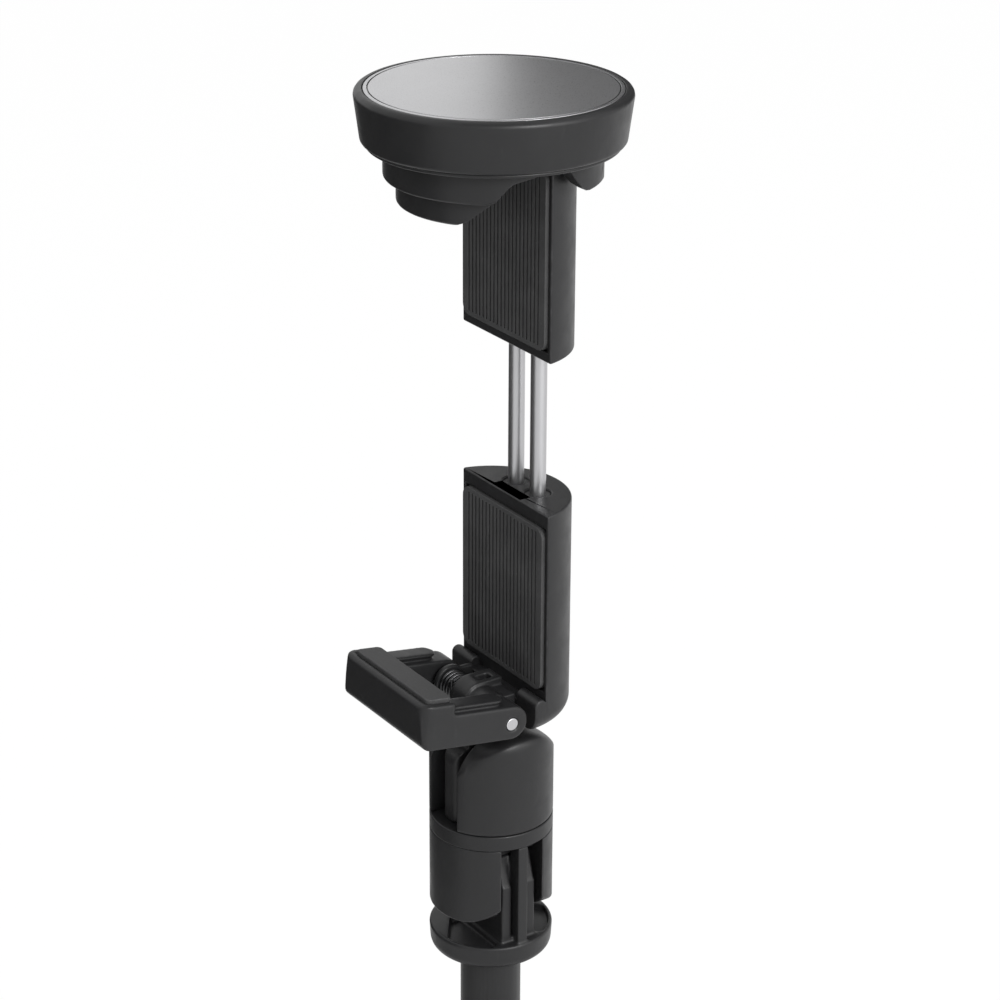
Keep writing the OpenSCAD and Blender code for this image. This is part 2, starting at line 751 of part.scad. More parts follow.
module foot_arm() {
    leg_in = arm_w - 2 * arm_leg_w;
    color(c_plastic) in_arm() difference() {
        intersection() {
            union() {
                along_x(arm_w) {
                    translate([0, (arm_leg_top - arm_below) / 2]) circle((arm_leg_top + arm_below) / 2);
                    translate([-block_back - cut, -arm_below])
                        square([block_back + cut, arm_below + arm_leg_top]);
                    polygon(concat(
                        [[-block_back, -arm_below]],
                        [[-block_back, arm_block_top]],
                        corner(-arm_reach + front_edge, arm_block_top - front_edge, front_edge, 90, 176),
                        corner(-arm_reach + 1 + low_edge, -arm_below + low_edge, low_edge, 184, 270)
                    ));
                }
                // Plateaus on the legs, level with the rubber pad's seat
                for (s = [-1, 1]) translate([s * plateau_x, 0, 0]) {
                    linear_extrude(plateau_top) plateau_plan(plateau_w - 2 * plateau_lip);
                    translate([0, 0, plateau_top - plateau_t])
                        linear_extrude(plateau_t) plateau_plan(plateau_w);
                }
            }
            // Plan outline with round front corners
            translate([0, 0, -2 * arm_below]) linear_extrude(6 * arm_below) {
                translate([-arm_w / 2, -arm_reach + arm_corner]) square([arm_w, arm_reach + 2 * arm_corner]);
                translate([-arm_w / 2 + arm_corner, -arm_reach]) square([arm_w - 2 * arm_corner, arm_reach]);
                for (s = [-1, 1]) translate([s * (arm_w / 2 - arm_corner), -arm_reach + arm_corner])
                    circle(arm_corner, $fn = small_fn);
            }
        }
        span([-leg_in / 2, -block_back, -arm_below - cut], [leg_in / 2, 2 * arm_below, 2 * arm_block_top]);
        translate([-arm_pad_w / 2 - seat, -block_back - arm_pad_d - seat, arm_block_top - 0.6])
            cube([arm_pad_w + 2 * seat, arm_pad_d + 2 * seat, 2]);
        bar_x(arm_pin_r + seat, 2 * arm_w);
    }
}

plateau_top = 5.8;
plateau_w = 5;
plateau_t = 0.8;                        // thickness of a plateau's overhanging edge
plateau_lip = 0.7;                      // how far that edge overhangs
plateau_x = arm_w / 2 - 3.2;
plateau_back = 4.5;                     // middle of a plateau's round end in front of the pin

module plateau_plan(w) {
    translate([-w / 2, -block_back - cut]) square([w, block_back + cut - plateau_back]);
    translate([0, -plateau_back]) circle(w / 2, $fn = 48);
}

arm_pad_w = arm_w - 2 * pad_in;
arm_pad_d = 6.3;
arm_pad_t = 1.4;

module foot_arm_pad() {
    color(c_rubber) in_arm() translate([-arm_pad_w / 2, -block_back - arm_pad_d, arm_block_top - 0.6])
        linear_extrude(arm_pad_t) rounded_rect(arm_pad_w, arm_pad_d, 1.2);
}

module foot_pin() {
    color(c_steel) at_arm_pin() bar_x(arm_pin_r, arm_w - 2 * side);
}

// Torsion spring: one wire that winds round the pin, with a leg at each end

spring_rings = 8 * spring_turns;
spring_sides = 6;
spring_leg_up = 5.2;
spring_leg_back = 4;

// A point on the wire's line; t counts turns
function curl(t) = [
    spring_x0 + spring_wire / 2 + t * (spring_wire + spring_gap),
    -spring_r * sin(360 * t + 90),
    -spring_r * cos(360 * t + 90)
];
wire_front = [for (k = [2, 1]) curl(0) + [0, 0, -k * spring_leg_up / 4]];
wire_back = [for (k = [1, 2]) curl(spring_turns) + [0, 0, k * spring_leg_back / 2]];
wire = concat(wire_front, [for (i = [0 : spring_rings]) curl(i / 8)], wire_back);

function unit(v) = v / norm(v);
function wire_dir(i) = unit(wire[min(i + 1, len(wire) - 1)] - wire[max(i - 1, 0)]);
function wire_ring(i) = let (d = wire_dir(i), a = unit([1, 0, 0] - d.x * d), b = cross(d, a))
    [for (j = [0 : spring_sides - 1])
        wire[i] + spring_wire / 2 * (cos(360 * j / spring_sides) * a + sin(360 * j / spring_sides) * b)];

wire_points = [for (i = [0 : len(wire) - 1]) each wire_ring(i)];
wire_faces = concat(
    [for (i = [0 : len(wire) - 2], j = [0 : spring_sides - 1])
        let (k = (j + 1) % spring_sides, r = spring_sides)
        each [[i * r + j, (i + 1) * r + j, i * r + k], [i * r + k, (i + 1) * r + j, (i + 1) * r + k]]],
    [for (j = [1 : spring_sides - 2]) [0, j, j + 1]],
    [for (j = [1 : spring_sides - 2]) let (n = (len(wire) - 1) * spring_sides) [n, n + j + 1, n + j]]
);

// Least gap between stretches of the wire that are half a curl or more apart
wire_gap = min([for (i = [0 : len(wire) - 1], j = [i + 5 : 1 : len(wire) - 1])
    norm(wire[i] - wire[j])]) - spring_wire;
echo(least_gap_of_foot_spring = wire_gap);

module foot_spring() color(c_steel) at_arm_pin() polyhedron(wire_points, wire_faces);

// Neck

neck_edge = 0.35;                       // rounding of the edges next to the swivel band
top_ease = 2.4;                         // rounding between the upper cheeks' sides and their top
ease_angle = 30;
ease_r = (neck_r - top_ease) * (cos(ease_angle) + sin(ease_angle)) + top_ease;

// Two cheeks of a yoke with a slot between them, turned with round edges
module cheeks(h, low, high) {
    difference() {
        turned(neck_r, h, low, high);
        span([-slot, -2 * neck_r, -cut], [slot, 2 * neck_r, h + cut]);
    }
}

module upper_yoke() {
    color(c_plastic) at() difference() {
        union() {
            intersection() {
                translate([0, 0, yoke_z]) cheeks(2 * neck_r, neck_edge, 0);
                translate([0, 0, tilt_pin_z]) union() {
                    bar_x(tilt_cheek_r, 3 * neck_r);
                    span([-neck_r, -neck_r, yoke_z - tilt_pin_z - cut], [neck_r, neck_r, 0]);
                }
                // Eases the edge between the cheeks' sides and their round top
                translate([0, 0, tilt_pin_z]) rotate([0, ease_angle, 0]) bar_x(ease_r, 6 * neck_r);
                translate([0, 0, tilt_pin_z]) rotate([0, 90 - ease_angle, 0]) bar_x(ease_r, 6 * neck_r);
                translate([0, 0, tilt_pin_z]) rotate([0, -ease_angle, 0]) bar_x(ease_r, 6 * neck_r);
                translate([0, 0, tilt_pin_z]) rotate([0, ease_angle - 90, 0]) bar_x(ease_r, 6 * neck_r);
            }
            translate([0, 0, yoke_z]) intersection() {
                cylinder(r = neck_r - side, h = web_t);
                span([-slot - cut, 0.8 - tongue_neck, 0], [slot + cut, 2 * neck_r, web_t]);
            }
        }
        translate([-blind, 0, tilt_pin_z]) bar_x(hinge_pin_r + seat, 2 * neck_r);
        translate([0, 0, yoke_z - cut]) cylinder(r = swivel_r + run, h = web_t + 2 * cut);
        translate([0, 0, upper_web_z - bolt_head_h]) cylinder(r = bolt_head_r + free, h = bolt_head_h + cut);
    }
}

blind = 2.2;                            // plastic left over a hidden pin's end
pin_sunk = 0.2;                         // how deep its other end lies under the surface
pin_short = 1;                          // room left at the bore's blind end
bolt_head_r = 3.6;
bolt_head_h = 1.5;

module hidden_pin() {
    translate([(pin_sunk - blind - pin_short) / 2, 0, 0])
        bar_x(hinge_pin_r, 2 * neck_r - blind - pin_sunk - pin_short);
}

module tilt_pin() {
    color(c_steel) at(tilt_pin_z) hidden_pin();
}

module hinge_washers(r) {
    t = slot - boss_half - 2 * side;
    for (s = [-1, 1]) translate([s * (slot + boss_half) / 2, 0, 0]) difference() {
        bar_x(r, t);
        bar_x(hinge_pin_r + run, t + cut);
    }
}

module tilt_washers() color(c_steel) at(tilt_pin_z) hinge_washers(boss_r - 1);

module swivel_band() {
    color(c_plastic) at(band_z) difference() {
        turned(neck_r, band_h, neck_edge, neck_edge);
        translate([0, 0, -cut]) cylinder(r = swivel_r + seat, h = band_h + 2 * cut);
    }
}

module swivel_bolt() {
    color(c_steel) at() difference() {
        union() {
            translate([0, 0, lower_web_z + side])
                cylinder(r = swivel_r, h = upper_web_z - lower_web_z - 2 * side);
            translate([0, 0, upper_web_z - bolt_head_h + side])
                cylinder(r = bolt_head_r, h = bolt_head_h - 2 * side);
        }
        translate([0, 0, upper_web_z - bolt_head_h / 2])
            cylinder(r = swivel_r - 0.4, h = bolt_head_h, $fn = 6);
    }
}

cheek_corner = 8;                       // rounding of the lower cheeks' bottom corners

module lower_yoke() {
    bottom = neck_pin_z - cheek_drop;
    color(c_plastic) at() difference() {
        union() {
            intersection() {
                translate([0, 0, bottom]) rotate(90) cheeks(band_z - bottom, 0, neck_edge);
                along_y(4 * neck_r) translate([-neck_r, bottom]) {
                    translate([cheek_corner, 0]) square([2 * neck_r - 2 * cheek_corner, band_z - bottom]);
                    translate([0, cheek_corner]) square([2 * neck_r, band_z - bottom - cheek_corner]);
                    for (x = [cheek_corner, 2 * neck_r - cheek_corner])
                        translate([x, cheek_corner]) circle(cheek_corner, $fn = 64);
                }
            }
            translate([0, 0, lower_web_z]) intersection() {
                cylinder(r = neck_r - side, h = band_z - lower_web_z);
                span([-2 * neck_r, -slot - cut, 0], [post_web - post_lean, slot + cut, band_z - lower_web_z]);
            }
        }
        translate([0, blind, neck_pin_z]) bar_y(hinge_pin_r + seat, 2 * neck_r);
        translate([0, 0, lower_web_z - cut]) cylinder(r = swivel_r + seat, h = band_z);
    }
}

module neck_pin() {
    color(c_steel) at(neck_pin_z) rotate(-90) hidden_pin();
}

module neck_washers() color(c_steel) at(neck_pin_z) rotate(90) hinge_washers(boss_r);

spigot_len = 10;
socket_h = 2;
post_web = 11.6;                        // reach of the tongue's fins at their foot
post_lean = 2.4;                        // how much less they reach at the top
post_bar = 2.6;                         // width of the bar between the fins
post_groove = 0.7;                      // grooves beside the bar
post_groove_d = 1.8;
plinth_h = 1;
dish_wall = 0.9;
dish_d = 1.3;

module neck_post() {
    bar_x0 = post_web - post_groove_d;
    bar_top = band_z - neck_pin_z - free;
    color(c_plastic) at() difference() {
        union() {
            // Collar, narrower and rounder below
            translate([0, 0, collar_z]) rotate_extrude() polygon(concat(
                [[0, 0]],
                corner(collar_r - 2.2, 2, 2, -90, -8),
                corner(collar_r - 0.5, collar_h - 0.5, 0.5, 0, 90),
                [[0, collar_h]]
            ));
            translate([0, 0, collar_z - spigot_len])
                cylinder(r = pole_r - tube_wall - seat, h = spigot_len + cut);
            // Tongue: straight on the side where the neck stops upright, round on the other
            translate([0, 0, neck_pin_z]) difference() {
                along_y(2 * boss_half) {
                    circle(neck_tongue_r);
                    translate([-neck_tongue_r, collar_top - neck_pin_z - cut])
                        square([neck_tongue_r + post_web, neck_pin_z - collar_top + cut]);
                    polygon([
                        [0, neck_tongue_r], [0, -cut], [post_web, -cut],
                        [post_web - post_lean, neck_tongue_r]
                    ]);
                }
                // Grooves that part the two fins from the bar between them
                for (m = [0, 1]) mirror([0, m, 0]) span(
                    [bar_x0, post_bar / 2, collar_top - neck_pin_z + plinth_h],
                    [2 * post_web, post_bar / 2 + post_groove, 2 * neck_r]
                );
            }
            // Bar that shows in the yoke's slot
            translate([0, 0, neck_pin_z]) along_y(post_bar)
                translate([bar_x0, collar_top - neck_pin_z - cut])
                    square([neck_r - 2 * free - bar_x0, bar_top + neck_pin_z - collar_top + cut]);
            // Low plinth at the tongue's root
            translate([0, 0, collar_top - cut]) linear_extrude(plinth_h + cut)
                translate([-neck_tongue_r, -slot + 0.9]) square([neck_tongue_r + post_web, slot_w - 1.8]);
        }
        translate([0, 0, neck_pin_z]) bar_y(hinge_pin_r + run, 2 * slot_w);
        // Pockets beside the tongue
        for (m = [0, 1]) mirror([0, m, 0]) translate([0, 0, collar_top - dish_d]) linear_extrude(dish_d + cut)
            intersection() {
                circle(collar_r - dish_wall);
                polygon([
                    [-0.32 * collar_r, slot - free], [-0.32 * collar_r, 0.58 * collar_r],
                    [0.28 * collar_r, collar_r], [collar_r, collar_r], [0.76 * collar_r, slot - free]
                ]);
            }
        translate([0, 0, collar_z - cut]) ring(pole_r + seat, pole_r - tube_wall - seat, socket_h + cut);
    }
}

// Pole: each tube has a lip at its top, and each sliding tube a sleeve at its foot

function tube_low(i) = i == 0 ? tube_base + 3 * tube_low_step + pull : tube_base + (3 - i) * tube_low_step;
function tube_high(i) = i == 0 ? collar_z + socket_h - side : grip_top - 2 + (3 - i) * tube_top_step;

module tube(i) {
    low = tube_low(i);
    high = tube_high(i);
    color(c_tube) at() difference() {
        translate([0, 0, low]) cylinder(r = tube_r[i], h = high - low);
        translate([0, 0, low - cut])
            cylinder(r = tube_r[i] - tube_wall, h = high - low - (i > 0 ? lip_len : -cut) + cut);
        if (i > 0) translate([0, 0, low]) cylinder(r = tube_r[i - 1] + run, h = high - low + cut);
    }
}

module sleeve(i) {
    color(c_plastic) at(tube_low(i)) ring(tube_r[i + 1] - tube_wall - run, tube_r[i] + seat, sleeve_h);
}

module tube_1() tube(0);
module tube_2() tube(1);
module tube_3() tube(2);
module tube_4() tube(3);
module sleeve_1() sleeve(0);
module sleeve_2() sleeve(1);
module sleeve_3() sleeve(2);

// Grip

grip_screw_x = (tube_r[3] + grip_r - grip_wall) / 2;
grip_screw_r = 0.9;
grip_screw_low = 14;
grip_screw_high = 10;
grip_screw_heights = [grip_z + grip_screw_low, grip_top - ring_h - grip_screw_high];
grip_body_top = grip_top - ring_h;
rib_t = 2;
rib_heights = [for (k = [0 : 4]) grip_z + 8 + k * (grip_body_top - grip_z - 10) / 4];

// One half of the grip's shell, on the side that s gives: -1 front, 1 back
module grip_half(s) {
    keep = [[-2 * grip_r, s > 0 ? side / 2 : -2 * grip_r], [4 * grip_r, 2 * grip_r - side / 2]];
    linear_extrude(grip_body_top - grip_z) difference() {
        intersection() {
            circle(grip_r);
            translate(keep[0]) square(keep[1]);
        }
        circle(grip_r - grip_wall);
    }
    for (z = rib_heights) translate([0, 0, z - grip_z]) linear_extrude(rib_t) difference() {
        intersection() {
            circle(grip_r - grip_wall + cut / 2);
            translate(keep[0]) square(keep[1]);
        }
        circle(bore_r);
    }
}

module grip_screw_holes(r, low, high) {
    for (x = [-grip_screw_x, grip_screw_x], z = grip_screw_heights)
        translate([x, (low + high) / 2, z - grip_z]) bar_y(r, high - low, $fn = small_fn);
}

boss_wall = 1.95;
boss_len = 7;

module dock_space(gap) {
    span([-remote_w / 2 - gap, -2 * grip_r, remote_z - grip_z - gap],
        [remote_w / 2 + gap, -remote_back + gap, remote_z - grip_z + remote_len + gap]);
}

module grip_front() {
    color(c_plastic) at(grip_z) difference() {
        union() {
            grip_half(-1);
            grip_screw_holes(boss_wall, -boss_len, -side / 2);
            intersection() {
                translate([0, 0, remote_z - grip_z - dock_wall])
                    cylinder(r = grip_r - side, h = remote_len + 2 * dock_wall);
                span(
                    [-remote_w / 2 - dock_wall, -grip_r, 0],
                    [remote_w / 2 + dock_wall, -bore_r - 0.6, grip_len]
                );
            }
        }
        grip_screw_holes(grip_screw_r, -boss_len + 1, cut);
        dock_space(0.2);
        translate([0, 0, -cut]) cylinder(r = bore_r, h = 2 * grip_len);
    }
}

module grip_back() {
    color(c_plastic) at(grip_z) difference() {
        union() {
            grip_half(1);
            grip_screw_holes(boss_wall, side / 2, boss_len);
        }
        grip_screw_holes(grip_screw_r + run, -cut, boss_len + cut);
        grip_screw_holes(boss_wall - 0.35, boss_len - 2, 2 * grip_r);
        translate([0, 0, -cut]) cylinder(r = bore_r, h = 2 * grip_len);
    }
}

module grip_ring() {
    color(c_plastic) at(grip_body_top) difference() {
        rotate_extrude() polygon([[0, 0], [grip_r, 0], [grip_r, ring_h - 1.2], [grip_r - 0.4, ring_h - 0.4],
            [grip_r - 1.2, ring_h], [0, ring_h]]);
        translate([0, 0, -cut]) cylinder(r = bore_r, h = 2 * ring_h);
    }
}

module grip_screws() {
    head_h = 1.2;
    color(c_steel) at(grip_z) {
        grip_screw_holes(grip_screw_r - seat, -boss_len + 1.5, boss_len - 2 + head_h / 2);
        difference() {
            grip_screw_holes(boss_wall - 0.45, boss_len - 2, boss_len - 2 + head_h);
            for (x = [-grip_screw_x, grip_screw_x], z = grip_screw_heights)
                translate([x, boss_len - 2 + head_h, z - grip_z]) bar_y(0.7, head_h, $fn = 6);
        }
    }
}

// Remote, docked in the grip's front

module remote_form(inset, back) {
    translate([0, -remote_proud, 0]) intersection() {
        translate([0, 0, inset]) cylinder(r = grip_r - inset, h = remote_len - 2 * inset);
        span(
            [-remote_w / 2 + inset, -2 * grip_r, 0],
            [remote_w / 2 - inset, -back + remote_proud, remote_len]
        );
    }
}

module remote_base() {
    color(c_plastic) at(remote_z) translate([-remote_w / 2, -remote_back - base_t, 0])
        cube([remote_w, base_t, remote_len]);
}

module remote_lid() {
    color(c_plastic) at(remote_z) difference() {
        remote_form(0, remote_back + base_t);
        remote_form(lid_wall, remote_back);
        translate([0, -grip_r, button_z - remote_z]) bar_y(button_r + side, 2 * grip_r - 2 * remote_back);
    }
}

remote_face = grip_r + remote_proud;
board_front = remote_back + base_t + board_t + run;
button_foot = sqrt(pow(grip_r - lid_wall, 2) - pow(button_r + 0.8, 2)) + remote_proud - side;
switch_r = 2.4;

module remote_button() {
    color(c_rubber) at(button_z) {
        translate([0, -(remote_face + button_foot) / 2, 0]) bar_y(button_r, remote_face + 0.6 - button_foot);
        translate([0, -button_foot + 0.3, 0]) bar_y(button_r + 0.8, 0.6);
    }
}

module remote_board() {
    switch_top = button_foot - 0.6 - button_travel - side;
    color(c_board) at(remote_z) {
        translate([-board_w / 2, -board_front, board_end])
            cube([board_w, board_t, remote_len - 2 * board_end]);
        translate([0, -(board_front + switch_top) / 2 + run, button_z - remote_z])
            bar_y(switch_r, switch_top - board_front + 2 * run);
    }
}

module remote_cell() {
    color(c_steel) at(cell_z) translate([0, -board_front - cell_t / 2 - seat, 0]) bar_y(cell_r, cell_t);
}

// Legs

module around_legs() {
    for (a = leg_azimuths) rotate(a) children();
}

module leg_hub() {
    color(c_plastic) at(pin_z) difference() {
        union() {
            translate([0, 0, -hub_below]) cylinder(r = grip_r, h = hub_below + hub_above);
            cylinder(r = grip_r - grip_wall - seat, h = hub_above + 6);
        }
        around_legs() {
            span([pin_rho - lug_r - free, -lug_w / 2 - side, -2 * hub_above],
                [2 * grip_r, lug_w / 2 + side, lug_r + free]);
            translate([pin_rho, 0, 0]) bar_y(leg_pin_r + seat, leg_pin_len + side);
        }
        translate([0, 0, hub_above + tube_base - grip_z]) cylinder(r = bore_r, h = hub_above);
        translate([0, 0, -hub_above]) cylinder(r = hub_cap_screw_r, h = 2 * hub_above - 2);
    }
}

leg_pin_len = 16.4;
hub_cap_r = pin_rho - lug_r - 0.6;
hub_cap_screw_r = 1.4;

module hub_cap() {
    color(c_plastic) at(pin_z - hub_below) {
        translate([0, 0, -1.6]) cylinder(r = hub_cap_r, h = 1.6);
        cylinder(r = hub_cap_screw_r - seat, h = 6);
    }
}

module leg_pins() {
    color(c_steel) at(pin_z) around_legs() translate([pin_rho, 0, 0]) bar_y(leg_pin_r, leg_pin_len - side);
}

// Children drawn for a folded leg, opened about the leg's pin
module in_leg(i) {
    at(pin_z) rotate(leg_azimuths[i]) translate([pin_rho, 0, 0]) rotate([0, -leg_open, 0])
        translate([-pin_rho, 0, 0]) children();
}

// Section of a leg: an outer wall and two side flanges
module leg_section(inset) {
    difference() {
        intersection() {
            difference() {
                circle(grip_r);
                circle(flange_r);
            }
            wedge(leg_half, 2 * grip_r);
        }
        intersection() {
            circle(grip_r - leg_wall + inset);
            translate([leg_wall * 2.2 - inset, 0]) wedge(leg_half, 2 * grip_r);
        }
    }
}

module leg(i) {
    color(c_plastic) in_leg(i) difference() {
        union() {
            translate([0, 0, -leg_len]) linear_extrude(leg_len - shell_drop) leg_section(0);
            // Solid root that carries the lug
            translate([0, 0, -shell_drop - root_len]) linear_extrude(root_len) intersection() {
                circle(grip_r);
                translate([flange_r - 0.5, -lug_w / 2]) square([grip_r, lug_w]);
            }
            intersection() {
                translate([pin_rho, 0, 0]) along_y(lug_w) {
                    circle(lug_r, $fn = 64);
                    translate([-lug_r + 1, -shell_drop - 4]) square([2 * lug_r - 1, shell_drop + 4]);
                }
                translate([0, 0, -leg_len]) cylinder(r = grip_r, h = 2 * leg_len);
            }
        }
        translate([pin_rho, 0, 0]) bar_y(leg_pin_r + run, 2 * lug_w);
    }
}

module foot(i) {
    plug = 6;
    difference() {
        color(c_rubber) in_leg(i) difference() {
            translate([0, 0, -tip_len]) linear_extrude(foot_len) intersection() {
                difference() {
                    circle(grip_r + foot_skin);
                    circle(flange_r - foot_skin);
                }
                wedge(leg_half, 2 * grip_r);
            }
            // Room for the leg's end
            translate([0, 0, -leg_len - seat]) linear_extrude(2 * foot_len) intersection() {
                difference() {
                    circle(grip_r + seat);
                    circle(flange_r - seat);
                }
                difference() {
                    wedge(leg_half + 1, 3 * grip_r);
                    intersection() {
                        circle(grip_r - leg_wall - side);
                        translate([leg_wall * 2.2 + side, 0]) wedge(leg_half, 2 * grip_r);
                    }
                }
            }
            translate([0, 0, -leg_len + plug]) cylinder(r = grip_r - leg_wall, h = foot_len);
        }
        at() span([-2 * leg_len, -2 * leg_len, -foot_len], [2 * leg_len, 2 * leg_len, 0]);
    }
}

module leg_1() leg(0);
module leg_2() leg(1);
module leg_3() leg(2);
module foot_1() foot(0);
module foot_2() foot(1);
module foot_3() foot(2);

face_plate();
rim();
magnet_carrier();
magnets();
shunt_ring();
disc_back();
disc_screws();
disc_hinge_pin();
disc_washers();
upper_clamp_shell();
upper_clamp_plate();
upper_pad();
guide_rods();
rod_stops();
lower_clamp_shell();
lower_clamp_plate();
lower_pad();
rod_bushes();
rod_brake();
hinge_block();
hinge_screws();
foot_arm();
foot_arm_pad();
foot_pin();
foot_spring();
upper_yoke();
tilt_pin();
tilt_washers();
swivel_band();
swivel_bolt();
lower_yoke();
neck_pin();
neck_washers();
neck_post();
tube_1();
sleeve_1();
tube_2();
sleeve_2();
tube_3();
sleeve_3();
tube_4();
grip_front();
grip_back();
grip_ring();
grip_screws();
remote_base();
remote_lid();
remote_button();
remote_board();
remote_cell();
leg_hub();
hub_cap();
leg_pins();
leg_1();
leg_2();
leg_3();
foot_1();
foot_2();
foot_3();
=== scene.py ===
"""Finishes the selfie stick tripod: rounded mouldings, metals, rubber and a small studio."""

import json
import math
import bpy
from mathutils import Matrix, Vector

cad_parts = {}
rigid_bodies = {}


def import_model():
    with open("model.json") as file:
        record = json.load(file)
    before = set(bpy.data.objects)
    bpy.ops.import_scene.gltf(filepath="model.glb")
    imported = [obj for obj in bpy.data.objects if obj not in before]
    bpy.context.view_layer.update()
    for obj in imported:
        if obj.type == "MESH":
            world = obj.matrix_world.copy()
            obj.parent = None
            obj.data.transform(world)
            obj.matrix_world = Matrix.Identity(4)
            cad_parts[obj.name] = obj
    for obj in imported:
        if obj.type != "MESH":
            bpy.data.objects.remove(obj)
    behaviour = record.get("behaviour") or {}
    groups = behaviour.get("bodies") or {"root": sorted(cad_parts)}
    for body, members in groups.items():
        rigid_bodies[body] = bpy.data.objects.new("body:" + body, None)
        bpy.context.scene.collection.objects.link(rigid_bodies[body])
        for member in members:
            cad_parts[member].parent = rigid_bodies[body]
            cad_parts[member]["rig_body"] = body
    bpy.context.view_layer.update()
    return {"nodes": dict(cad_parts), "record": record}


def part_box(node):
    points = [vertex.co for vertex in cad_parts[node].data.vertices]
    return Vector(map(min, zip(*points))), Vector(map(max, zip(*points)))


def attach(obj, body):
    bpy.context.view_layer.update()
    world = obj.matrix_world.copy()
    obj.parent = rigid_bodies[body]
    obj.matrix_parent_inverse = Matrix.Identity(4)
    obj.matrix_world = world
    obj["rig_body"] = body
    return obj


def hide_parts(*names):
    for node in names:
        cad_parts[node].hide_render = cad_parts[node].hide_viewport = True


bl_info = {
    "name": "Selfie Stick Tripod",
    "version": (1, 0, 0),
    "blender": (4, 5, 0),
    "location": "View3D > Sidebar > Selfie Stick",
    "description": "Dresses a selfie stick tripod with a magnetic disc and a phone clamp",
    "category": "Object",
}

import bmesh
import bpy
from bpy.props import FloatProperty, FloatVectorProperty, IntProperty, PointerProperty
from bpy.types import Operator, Panel, PropertyGroup
from mathutils import Matrix, Vector

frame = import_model()

MM = 0.001

# Names of the marks that a mesh carries for its material
WEAR = "edge_wear"
# The mark for painted shade on the floor of the disc plate's groove
PAINTED_GROOVE_SHADE = "painted_groove_shade"

# How close points are when they are welded
WELD = 0.002 * MM
FINE_WELD = 0.001 * MM

# Angles between faces: flat enough to merge, sharp enough to round, and still shaded smooth
FLAT = math.radians(0.4)
SHARP = math.radians(30)
CREASE = math.radians(38)
WIRE_CREASE = math.radians(60)
MELTED_CREASE = math.radians(80)

# How strongly the large faces set the shading of the edges beside them
FACE_WEIGHT = 80

# How a moulding's edges are melted: the grain of its faces, and how often it is smoothed
MELT_GRAIN = 0.24 * MM
MELT_ROUNDS = 6
ARM_ROUNDS = 12
SOFT_ROUNDS = 90

# The section of the disc's metal plate, in millimetres: how far in from its edge the middle of
# the face ends and the groove lies, how deep the groove is, and then the outlines of the groove
# and of the rounded edge, as pairs of a step inwards and a drop below the face
MIDDLE_IN = 8
GROOVE_IN = 0.9
GROOVE_DROP = 0.24
GROOVE = (
    (0.3, 0), (0.22, 0.04), (0.18, GROOVE_DROP), (-0.04, GROOVE_DROP), (-0.08, 0.04), (-0.16, 0))
ROUNDED_EDGE = ((0.28, 0), (0.1, 0.05), (0.02, 0.16), (0, 0.3))
PLATE_STEPS = 160


class StickColours(PropertyGroup):
    """Colours of the mouldings, rubber and metals"""

    moulding: FloatVectorProperty(
        name="Moulding", description="Black plastic of the clamp, neck, grip and legs",
        subtype="COLOR", size=3, min=0, max=1, default=(0.011, 0.011, 0.0115))
    rubber: FloatVectorProperty(
        name="Rubber", description="Ribbed pads, feet and shutter button",
        subtype="COLOR", size=3, min=0, max=1, default=(0.03, 0.03, 0.0305))
    tube: FloatVectorProperty(
        name="Tube", description="Black anodised telescopic tubes",
        subtype="COLOR", size=3, min=0, max=1, default=(0.01, 0.01, 0.0105))
    plate: FloatVectorProperty(
        name="Disc plate", description="Grey metal plate on the magnetic disc",
        subtype="COLOR", size=3, min=0, max=1, default=(0.5, 0.5, 0.51))
    steel: FloatVectorProperty(
        name="Steel", description="Guide rods and pivot pin",
        subtype="COLOR", size=3, min=0, max=1, default=(0.5, 0.5, 0.51))
    screw: FloatVectorProperty(
        name="Screws", description="Blackened screws, hinge pins and washers",
        subtype="COLOR", size=3, min=0, max=1, default=(0.12, 0.12, 0.125))
    spring: FloatVectorProperty(
        name="Spring", description="Oiled wire of the foot arm's spring",
        subtype="COLOR", size=3, min=0, max=1, default=(0.07, 0.07, 0.072))
    nickel: FloatVectorProperty(
        name="Nickel", description="Plated magnets and the remote's cell",
        subtype="COLOR", size=3, min=0, max=1, default=(0.62, 0.6, 0.57))
    inner: FloatVectorProperty(
        name="Inner moulding", description="Grey plastic of the sleeves, bushes and back plates",
        subtype="COLOR", size=3, min=0, max=1, default=(0.1, 0.1, 0.105))
    board: FloatVectorProperty(
        name="Circuit board", description="Green lacquer of the remote's board",
        subtype="COLOR", size=3, min=0, max=1, default=(0.02, 0.12, 0.05))


